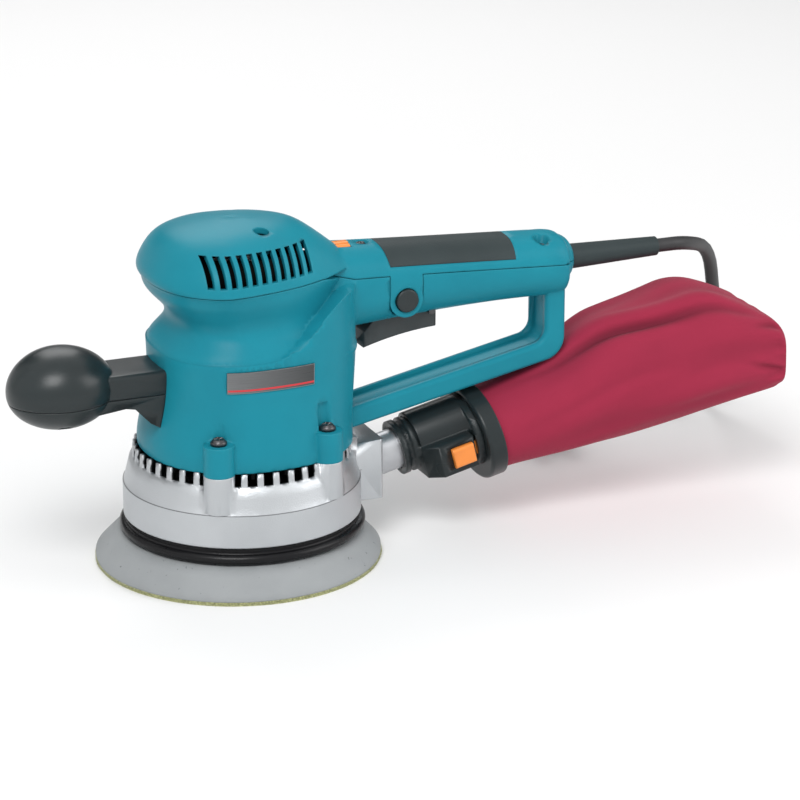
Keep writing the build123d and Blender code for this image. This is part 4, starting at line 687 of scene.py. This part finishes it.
lever_plastic = moulded(
    "lever_plastic", lever_dark, lever_grey, knob_worn,
    gloss=(0.4, 0.52), grain_size=0.0005, relief=0.00004, edge=0.001, mirror=0.25,
)
skin_of("trigger", lever_plastic)
skin_of("lock_button", knob_plastic)


# Speed dial and bag latches: bright orange mouldings, so that the hand finds them, with a
# half-gloss surface.

orange_deep = (0.78, 0.22, 0.03, 1.0)
orange_light = (0.90, 0.30, 0.06, 1.0)

orange = moulded(
    "orange_plastic", orange_deep, orange_light, orange_light,
    gloss=(0.3, 0.4), grain_size=0.0006, relief=0.00002, edge=0.0008,
)
for name in ("speed_dial", "bag_latch_near", "bag_latch_far"):
    skin_of(name, orange)


# Dust connector and bag frame: smooth black mouldings, shinier than the knob, between the nozzle
# and the bag's mouth.

pipe_black = (0.010, 0.014, 0.015, 1.0)
pipe_grey = (0.020, 0.027, 0.029, 1.0)

pipe_plastic = moulded(
    "pipe_plastic", pipe_black, pipe_grey, knob_worn,
    gloss=(0.24, 0.34), grain_size=0.0007, relief=0.00002, edge=0.0012, mirror=0.3,
)
skin_of("dust_connector", pipe_plastic)
skin_of("bag_frame", pipe_plastic)


# Dust bag: one sheet of crimson woven cloth, sewn into a tube, held in the oval frame at its mouth
# and closed by a sewn end panel. It is full of air and dust, so it swells, and it creases where the
# flat cloth turns over the dust.

bag_cloth_deep = (0.25, 0.016, 0.042, 1.0)
bag_cloth_light = (0.42, 0.036, 0.080, 1.0)
# Colour of the painted shade in the crease valleys
bag_crease_shade = (0.16, 0.016, 0.034, 1.0)
bag_crease_full = 0.0040
bag_thread = 0.0007
bag_wall = 0.0006
# About the mean way round the bag, which sets the scale of the weave
cloth_round = 0.21
dye_share = (0.35, 0.95)
dye_gloss = (0.72, 0.9)
weave_share = (0.5, 1.0)
bag_round, bag_along, bag_end_rings = 224, 190, 26
bag_smoothing = 11
# A crease's ridge: its height as a share of the depth, its offset and its width in breadths, and
# where along the bag it starts and how far it takes to grow
bag_ridge_share, bag_ridge_offset, bag_ridge_width = 0.45, 2.2, 1.5
bag_ridge_start, bag_ridge_fade = 0.045, 0.030
# Each broad wave: its count round the bag, its turn along it in radians a metre, and its share
bag_waves = [(5, 40, 1.0), (9, -55, 0.7)]
bag_wave_height, bag_wave_start, bag_wave_fade = 0.0006, 0.01, 0.05
bag_puckers, bag_pucker_drift = 17, 3
bag_pucker_height, bag_pucker_reach = 0.0008, 0.010
bag_hem = 0.003
bag_end_ripple, bag_end_lip, bag_end_dish = 0.0012, 0.0016, 0.003
# x and z of the middle, half width, half height, squareness and lean of each section of the bag
bag_stations = np.array([
    [0.1364, 0.0498, 0.0275, 0.0219, 2.0, 0.238],
    [0.1410, 0.0512, 0.0278, 0.0222, 2.0, 0.238],
    [0.1780, 0.0602, 0.0307, 0.0263, 2.2, 0.238],
    [0.2080, 0.0716, 0.0347, 0.0328, 2.5, 0.214],
    [0.2400, 0.0776, 0.0390, 0.0326, 2.7, 0.167],
    [0.2650, 0.0840, 0.0405, 0.0338, 2.8, 0.119],
    [0.2880, 0.0824, 0.0405, 0.0256, 3.2, 0.060],
    [0.3013, 0.0807, 0.0400, 0.0188, 4.0, 0.024],
])
# Angle from the top, drift along the length, depth and breadth of each crease, and where along
# the bag its middle lies and how far it reaches
bag_creases = [
    (-0.57, -2.6, 0.0054, 0.110, 0.095, 0.047),
    (-1.35, 1.5, 0.0011, 0.140, 0.070, 0.040),
    (-2.10, -1.2, 0.0012, 0.120, 0.115, 0.040),
    (0.75, 1.2, 0.0026, 0.100, 0.095, 0.040),
    (1.90, -1.6, 0.0014, 0.140, 0.085, 0.045),
    (-0.86, 9.0, 0.0026, 0.070, 0.157, 0.011),
    (-1.80, -8.0, 0.0022, 0.080, 0.156, 0.012),
    (0.95, -8.0, 0.0026, 0.070, 0.157, 0.011),
    (2.00, 7.0, 0.0022, 0.080, 0.155, 0.012),
]


def smoothed(values, count):
    """A running mean over count values on either side, with both ends carried on straight."""
    padded = np.concatenate([np.full(count, values[0]), values, np.full(count, values[-1])])
    padded[:count] += (values[1] - values[0]) * np.arange(-count, 0)
    padded[-count:] += (values[-1] - values[-2]) * np.arange(1, count + 1)
    return np.convolve(padded, np.ones(2 * count + 1) / (2 * count + 1), "valid")


def pucker_wave(u):
    """The gathers round the end seam: a sine wave whose spacing drifts with a slower one."""
    return np.sin(bag_puckers * u + np.sin(bag_pucker_drift * u))


def bag_folds(u, run, left):
    """How far the cloth lies outside its plain form, by the angle u from the top, the distance run
    from the mouth and the distance left to the end seam. Each crease is a valley, a bell curve
    across its line, with a low ridge beside it where the bag is clear of the handle, and fades
    along its length as a bell curve. Broad waves are added, and puckers before the end seam."""
    free = np.clip((run - bag_ridge_start) / bag_ridge_fade, 0, 1)
    fold = np.zeros((bag_along, bag_round))
    for angle, drift, depth, breadth, middle, reach in bag_creases:
        turn = np.angle(np.exp(1j * (u - angle - drift * (run - middle))))
        side = bag_ridge_offset * breadth * (1 if angle < 0 else -1)
        valley = np.exp(-(turn / breadth) ** 2)
        ridge = np.exp(-((turn - side) / (bag_ridge_width * breadth)) ** 2)
        valley -= bag_ridge_share * free * ridge
        fold -= depth * valley * np.exp(-((run - middle) / reach) ** 2)
    sway = sum(high * np.sin(count * u + rate * run) for count, rate, high in bag_waves)
    fold += bag_wave_height * sway * np.clip((run - bag_wave_start) / bag_wave_fade, 0, 1)
    fold += bag_pucker_height * pucker_wave(u) * np.exp(-(left / bag_pucker_reach) ** 2)
    return fold * np.clip(left / bag_hem, 0, 1)


def bag_surface():
    """A tube of superellipse sections: the stations are joined by straight lines and rounded by a
    running mean, and the folds are added away from each section's middle. The end panel is the
    last ring drawn in to its middle, with a round lip and a little dished."""
    u = 2 * np.pi * np.arange(bag_round)[None, :] / bag_round
    far = bag_stations[:, 0]
    along = np.linspace(far[0], far[-1], bag_along)
    columns = [np.interp(along, far, column) for column in bag_stations.T]
    rows = [smoothed(column, bag_smoothing)[:, None] for column in columns]
    x, z, half_width, half_height, power, lean = rows
    c, s = np.cos(u), np.sin(u)
    stretch = (np.abs(c) ** power + np.abs(s) ** power) ** (-1 / power)
    up = half_height * stretch * c
    across = half_width * stretch * s
    fold = bag_folds(u, (along - far[0])[:, None], (far[-1] - along)[:, None])
    size = np.hypot(up, across)
    up = up * (1 + fold / size)
    across = across * (1 + fold / size)
    wall = np.stack([x - lean * up, across, z + up], 2)
    share = np.linspace(1.0, 0.0, bag_end_rings + 1)[1:-1][:, None]
    ripple = bag_end_ripple * pucker_wave(u) * share ** 6
    lip = bag_end_lip * np.sqrt(np.clip(1 - share ** 8, 0, 1))
    dish = lip - bag_end_dish * (1 - share ** 2) + ripple * (1 - share)
    end_up, end_across = up[-1:] * share, across[-1:] * share
    panel = np.stack([x[-1:] + dish - lean[-1:] * end_up, end_across, z[-1:] + end_up], 2)
    pole = np.array([[x[-1, 0] + bag_end_lip - bag_end_dish, 0.0, z[-1, 0]]])
    return wall, panel, pole, fold


def ring_faces(rings, around):
    """Four-cornered faces between rings of equal count, each ring joined to itself."""
    here = np.arange(rings - 1)[:, None] * around + np.arange(around)[None, :]
    beside = np.arange(rings - 1)[:, None] * around + (np.arange(around)[None, :] + 1) % around
    return np.stack([here, beside, beside + around, here + around], 2).reshape(-1, 4)


def bag_cloth():
    """Plain weave: two sine waves across each other at the thread's pitch, along the bag and round
    it on its own map, with soft fading of the dye, painted shade in the creases and a little nap."""
    material, tree, shader, place = new_material("bag_cloth")
    map_place = put(tree, "ShaderNodeUVMap", {"uv_map": "cloth"}).outputs["UV"]
    axes = put(tree, "ShaderNodeSeparateXYZ", Vector=map_place).outputs
    waves = []
    for axis in ("X", "Y"):
        angle = combine(tree, "MULTIPLY", axes[axis], 2 * math.pi / bag_thread)
        waves.append(combine(tree, "SINE", angle, 0.0))
    weave = spread(tree, combine(tree, "MULTIPLY", *waves), *weave_share)
    dye = put(tree, "ShaderNodeTexNoise", Vector=place, Scale=35.0, Detail=5.0)
    share = combine(tree, "MULTIPLY", spread(tree, dye.outputs["Fac"], *dye_share), weave)
    base = tint(tree, share, bag_cloth_deep, bag_cloth_light)
    # Painted shade: the cloth darkens towards the crease colour where the folds sink in
    valley = put(tree, "ShaderNodeAttribute", {"attribute_name": "valley"}).outputs["Fac"]
    tree.links.new(tint(tree, valley, base, bag_crease_shade), shader.inputs["Base Color"])
    tree.links.new(spread(tree, dye.outputs["Fac"], *dye_gloss), shader.inputs["Roughness"])
    bump = put(tree, "ShaderNodeBump", Strength=0.5, Distance=0.00012, Height=weave)
    tree.links.new(bump.outputs["Normal"], shader.inputs["Normal"])
    shader.inputs["Sheen Weight"].default_value = 0.06
    shader.inputs["Sheen Roughness"].default_value = 0.4
    shader.inputs["Specular IOR Level"].default_value = 0.15
    return material


bag_wall_points, bag_panel_points, bag_pole, bag_fold = bag_surface()
bag_points = np.concatenate([
    bag_wall_points.reshape(-1, 3),
    bag_panel_points.reshape(-1, 3),
    bag_pole,
])
bag_rings = bag_along + bag_end_rings - 1
last = (bag_rings - 1) * bag_round
pole = len(bag_points) - 1
bag_faces = ring_faces(bag_rings, bag_round).tolist()
bag_faces += [[last + k, last + (k + 1) % bag_round, pole] for k in range(bag_round)]


def cloth_map(mesh):
    """The place of each face corner on the flat cloth, in metres: round the bag by the share of a
    turn, and along it by the length of the top line. The faces that close the turn go on to a full
    turn, where the others start again from nothing."""
    around = np.concatenate([np.tile(np.arange(bag_round) / bag_round, bag_rings), [0.0]])
    top_line = np.concatenate([bag_wall_points[:, 0], bag_panel_points[:, 0]])
    steps = np.linalg.norm(np.diff(top_line, axis=0), axis=1)
    length = np.concatenate([[0.0], np.cumsum(steps)])
    along = np.concatenate([np.repeat(length, bag_round), length[-1:]])
    corner_points = np.zeros(len(mesh.loops), np.int32)
    mesh.loops.foreach_get("vertex_index", corner_points)
    corners = np.stack([around * cloth_round, along], 1)[corner_points]
    ring_corners = corners[:4 * (bag_rings - 1) * bag_round, 0].reshape(-1, 4)
    closing = np.ptp(ring_corners, axis=1, keepdims=True) > cloth_round / 2
    ring_corners += cloth_round * (closing & (ring_corners < cloth_round / 2))
    corners[:ring_corners.size, 0] = ring_corners.ravel()
    return corners.astype(np.float32)


bag = new_piece("dust_bag_cloth", bag_points, bag_faces, bag_cloth(), "bag", "bag_cloth")
bag_work = bmesh.new()
bag_work.from_mesh(bag.data)
bmesh.ops.recalc_face_normals(bag_work, faces=bag_work.faces)
bag_work.to_mesh(bag.data)
bag_work.free()
bag_map = bag.data.uv_layers.new(name="cloth")
bag_map.data.foreach_set("uv", cloth_map(bag.data).ravel())
# How deep each point lies in a crease, for the painted shade in the creases
valley = np.zeros(len(bag_points), np.float32)
valley[:bag_fold.size] = np.clip(-bag_fold.ravel() / bag_crease_full, 0.0, 1.0)
bag.data.attributes.new("valley", "FLOAT", "POINT").data.foreach_set("value", valley)
thick = bag.modifiers.new("cloth_wall", "SOLIDIFY")
thick.thickness = bag_wall
thick.offset = -1.0
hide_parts("dust_bag")


# Power cord: a rubber-sheathed lead that leaves the guard at the rear of the handle, hangs down
# behind the bag and lies in a tied coil on the floor, ending in a two-pin plug.

cord_diameter = 0.0075
cord_axis_height = 0.1408
guard_tip = 0.240
guard_overlap = 0.012
cord_start = guard_tip - guard_overlap
# The free run's points
cord_points = [
    (cord_start, 0.0, cord_axis_height),
    (0.2440, 0.0, cord_axis_height),
    (0.2580, 0.0, cord_axis_height),
    (0.2920, 0.034, 0.126),
    (0.3120, 0.064, 0.086),
    (0.3290, 0.084, 0.044),
]
coil_centre = np.array([0.275, 0.164])
coil_pitch = 0.00815
coil_rise = 0.0081
coil_dip = 0.001
coil_layer_turns = 3.0
coil_climb_turns = 0.5
coil_radius = 0.045
coil_inner = coil_radius - coil_pitch * coil_layer_turns / 2
coil_floor = 0.00535
coil_steps = 36
coil_tail = 0.038
floor_run = 0.043
cord_round_steps, cord_along_steps = 5, 5
cord_order = 3

cord_black = (0.012, 0.012, 0.013, 1.0)
cord_grey = (0.026, 0.026, 0.028, 1.0)


def coil_points():
    """Turns of the coil: inwards along the floor, half a turn up on a smooth step, and outwards on
    top. The radius changes by one pitch for each turn, with a small dip in the climb, and the
    angle grows evenly."""
    total = 2 * coil_layer_turns + coil_climb_turns
    turns = np.linspace(0.0, total, round(total * coil_steps) + 1)
    share = np.clip((turns - coil_layer_turns) / coil_climb_turns, 0.0, 1.0)
    height = coil_floor + coil_rise * share * share * (3 - 2 * share)
    before = coil_layer_turns - turns
    after = turns - coil_layer_turns - coil_climb_turns
    outside = np.maximum(np.maximum(before, after), 0.0)
    radius = coil_inner - coil_dip * 4 * share * (1 - share) + coil_pitch * outside
    angle = 2 * np.pi * turns
    return np.stack([
        coil_centre[0] + radius * np.cos(angle),
        coil_centre[1] + radius * np.sin(angle),
        height,
    ], 1)


def unit(vector):
    """The vector divided by its length."""
    return vector / np.linalg.norm(vector)


coil = coil_points()
coil_in = unit((coil[1] - coil[0]) * [1, 1, 0])
coil_out = unit((coil[-1] - coil[-2]) * [1, 1, 0])
coil_lead = coil[0] - coil_in * cord_diameter
floor_point = coil_lead - coil_in * floor_run
cord_end = coil[-1] + coil_out * coil_tail
cord_line = np.concatenate([np.array(cord_points), [floor_point, coil_lead], coil, [cord_end]])

cord_rubber = moulded(
    "cord_rubber", cord_black, cord_grey, cord_grey,
    gloss=(0.45, 0.58), grain_size=0.0008, relief=0.00004,
)
cord_curve = bpy.data.curves.new("power_cord_lead", "CURVE")
cord_curve.dimensions = "3D"
cord_curve.bevel_depth = cord_diameter / 2
cord_curve.bevel_resolution = cord_round_steps
cord_curve.resolution_u = cord_along_steps
cord_curve.use_fill_caps = True
lead = cord_curve.splines.new("NURBS")
lead.points.add(len(cord_line) - 1)
weights = np.ones((len(cord_line), 1))
lead.points.foreach_set("co", np.concatenate([cord_line, weights], 1).ravel())
lead.order_u = cord_order
lead.use_endpoint_u = True
cord = bpy.data.objects.new("power_cord_lead", cord_curve)
bpy.context.scene.collection.objects.link(cord)
cord_curve.materials.append(cord_rubber)
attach(cord, "housing")
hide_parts("power_cord", "cord_coil")


# Cord tie, plug and pins: a soft strap round the coil, a moulded rubber plug, and two plated pins
# with a bright, smooth surface.

pin_bright = (0.70, 0.70, 0.71, 1.0)
pin_shade = (0.58, 0.58, 0.59, 1.0)

pin_metal = moulded(
    "pin_metal", pin_shade, pin_bright, pin_bright,
    gloss=(0.15, 0.25), grain_size=0.0005, relief=0.00001, metal=1.0,
)
cord_tie = skin_of("cord_tie", cord_rubber)
plug_body = skin_of("plug_body", cord_rubber)
plug_pins = skin_of("plug_pins", pin_metal)


# Stage: a pale floor that turns up into a backdrop, a dark card that only reflections see, even
# studio light, and the camera of the photograph, which looks down at the near side from the
# knob's end.

floor_white = (0.86, 0.86, 0.86, 1.0)
floor_half, floor_rear, floor_height, floor_bend = 6.0, 4.0, 5.0, 1.5
floor_bend_steps = 24


def studio_floor():
    """Matt white paper: one colour, rough and without shine."""
    material, _, shader, _ = new_material("studio_floor")
    shader.inputs["Base Color"].default_value = floor_white
    shader.inputs["Roughness"].default_value = 0.9
    shader.inputs["Specular IOR Level"].default_value = 0.0
    return material


def sweep_sheet(half, rear, height, bend):
    """The floor's profile carried along x: flat, a quarter circle up, then upright."""
    turn = np.linspace(0.0, np.pi / 2, floor_bend_steps)
    y = np.concatenate([[-half], rear - bend + bend * np.sin(turn), [rear]])
    z = np.concatenate([[0.0], bend - bend * np.cos(turn), [height]])
    x = np.array([-half, half])
    grid = np.stack(np.broadcast_arrays(x[None, :], y[:, None], z[:, None]), 2)
    rows = np.arange(len(y) - 1) * 2
    faces = np.stack([rows, rows + 1, rows + 3, rows + 2], 1)
    return grid.reshape(-1, 3), faces


floor_mesh = bpy.data.meshes.new("studio_floor")
floor_points, floor_faces = sweep_sheet(floor_half, floor_rear, floor_height, floor_bend)
floor_mesh.from_pydata(floor_points.tolist(), [], floor_faces.tolist())
floor_mesh.shade_smooth()
floor_mesh.materials.append(studio_floor())
floor = bpy.data.objects.new("studio_floor", floor_mesh)
bpy.context.scene.collection.objects.link(floor)

flag_grey = (0.03, 0.03, 0.03, 1.0)
flag_middle = np.array([0.94, 2.01])
flag_side = np.array([0.9205, -0.3907])
flag_half_width = 2.2
flag_foot = 0.40
flag_top = 2.6

flag_left = flag_middle - flag_side * flag_half_width
flag_right = flag_middle + flag_side * flag_half_width
flag_points = [
    (*flag_left, flag_foot),
    (*flag_right, flag_foot),
    (*flag_right, flag_top),
    (*flag_left, flag_top),
]
flag_mesh = bpy.data.meshes.new("dark_flag")
flag_mesh.from_pydata(flag_points, [], [(0, 1, 2, 3)])
flag_material, _, flag_shader, _ = new_material("dark_flag")
flag_shader.inputs["Base Color"].default_value = flag_grey
flag_shader.inputs["Specular IOR Level"].default_value = 0.0
flag_mesh.materials.append(flag_material)
flag = bpy.data.objects.new("dark_flag", flag_mesh)
bpy.context.scene.collection.objects.link(flag)
flag.visible_camera = False
flag.visible_diffuse = False
flag.visible_shadow = False
flag.visible_transmission = False

# Strength of the white sky where it lights a dull surface, and where it is seen or reflected
sky_light, sky_seen = 0.62, 1.0

world = bpy.data.worlds.new("studio")
bpy.context.scene.world = world
world.use_nodes = True
sky = world.node_tree
rays = sky.nodes.new("ShaderNodeLightPath").outputs
seen = combine(sky, "MAXIMUM", rays["Is Camera Ray"], rays["Is Glossy Ray"])
seen = combine(sky, "MAXIMUM", seen, rays["Is Transmission Ray"])
sky_level = put(sky, "ShaderNodeMapRange", Value=seen, To_Min=sky_light, To_Max=sky_seen)
sky.nodes["Background"].inputs["Color"].default_value = (1.0, 1.0, 1.0, 1.0)
sky.links.new(sky_level.outputs["Result"], sky.nodes["Background"].inputs["Strength"])

part_middle = Vector((0.0839, -0.0144, 0.0779))


def softbox(name, place, size, power):
    """A square area lamp that faces the middle of the part."""
    lamp = bpy.data.lights.new(name, "AREA")
    lamp.shape = "SQUARE"
    lamp.size = size
    lamp.energy = power
    box = bpy.data.objects.new(name, lamp)
    box.location = place
    box.rotation_euler = (part_middle - Vector(place)).to_track_quat("-Z", "Y").to_euler()
    bpy.context.scene.collection.objects.link(box)


softbox("key_light", place=(-0.7, -1.1, 1.5), size=0.9, power=22.0)
softbox("side_light", place=(1.4, -0.9, 0.9), size=1.0, power=9.0)
softbox("back_light", place=(0.3, 1.4, 1.3), size=1.0, power=9.0)

camera_right = Vector((0.9205, -0.3907, 0.0))
camera_up = Vector((0.1266, 0.2982, 0.9461))
camera_back = Vector((-0.3697, -0.8709, 0.3239))
camera_distance = 1.700
photo_width = 800
photo_pixels_per_metre = 1900
focal_share = photo_pixels_per_metre * camera_distance / photo_width

camera_data = bpy.data.cameras.new("photo_camera")
camera_data.sensor_width = 36.0
camera_data.lens = focal_share * camera_data.sensor_width
camera_data.clip_start = 0.05
camera_data.clip_end = 50.0
camera = bpy.data.objects.new("photo_camera", camera_data)
turned = Matrix((camera_right, camera_up, camera_back)).transposed().to_4x4()
camera.matrix_world = Matrix.Translation(part_middle + camera_back * camera_distance) @ turned
bpy.context.scene.collection.objects.link(camera)
bpy.context.scene.camera = camera
bpy.context.scene.view_settings.view_transform = "Standard"
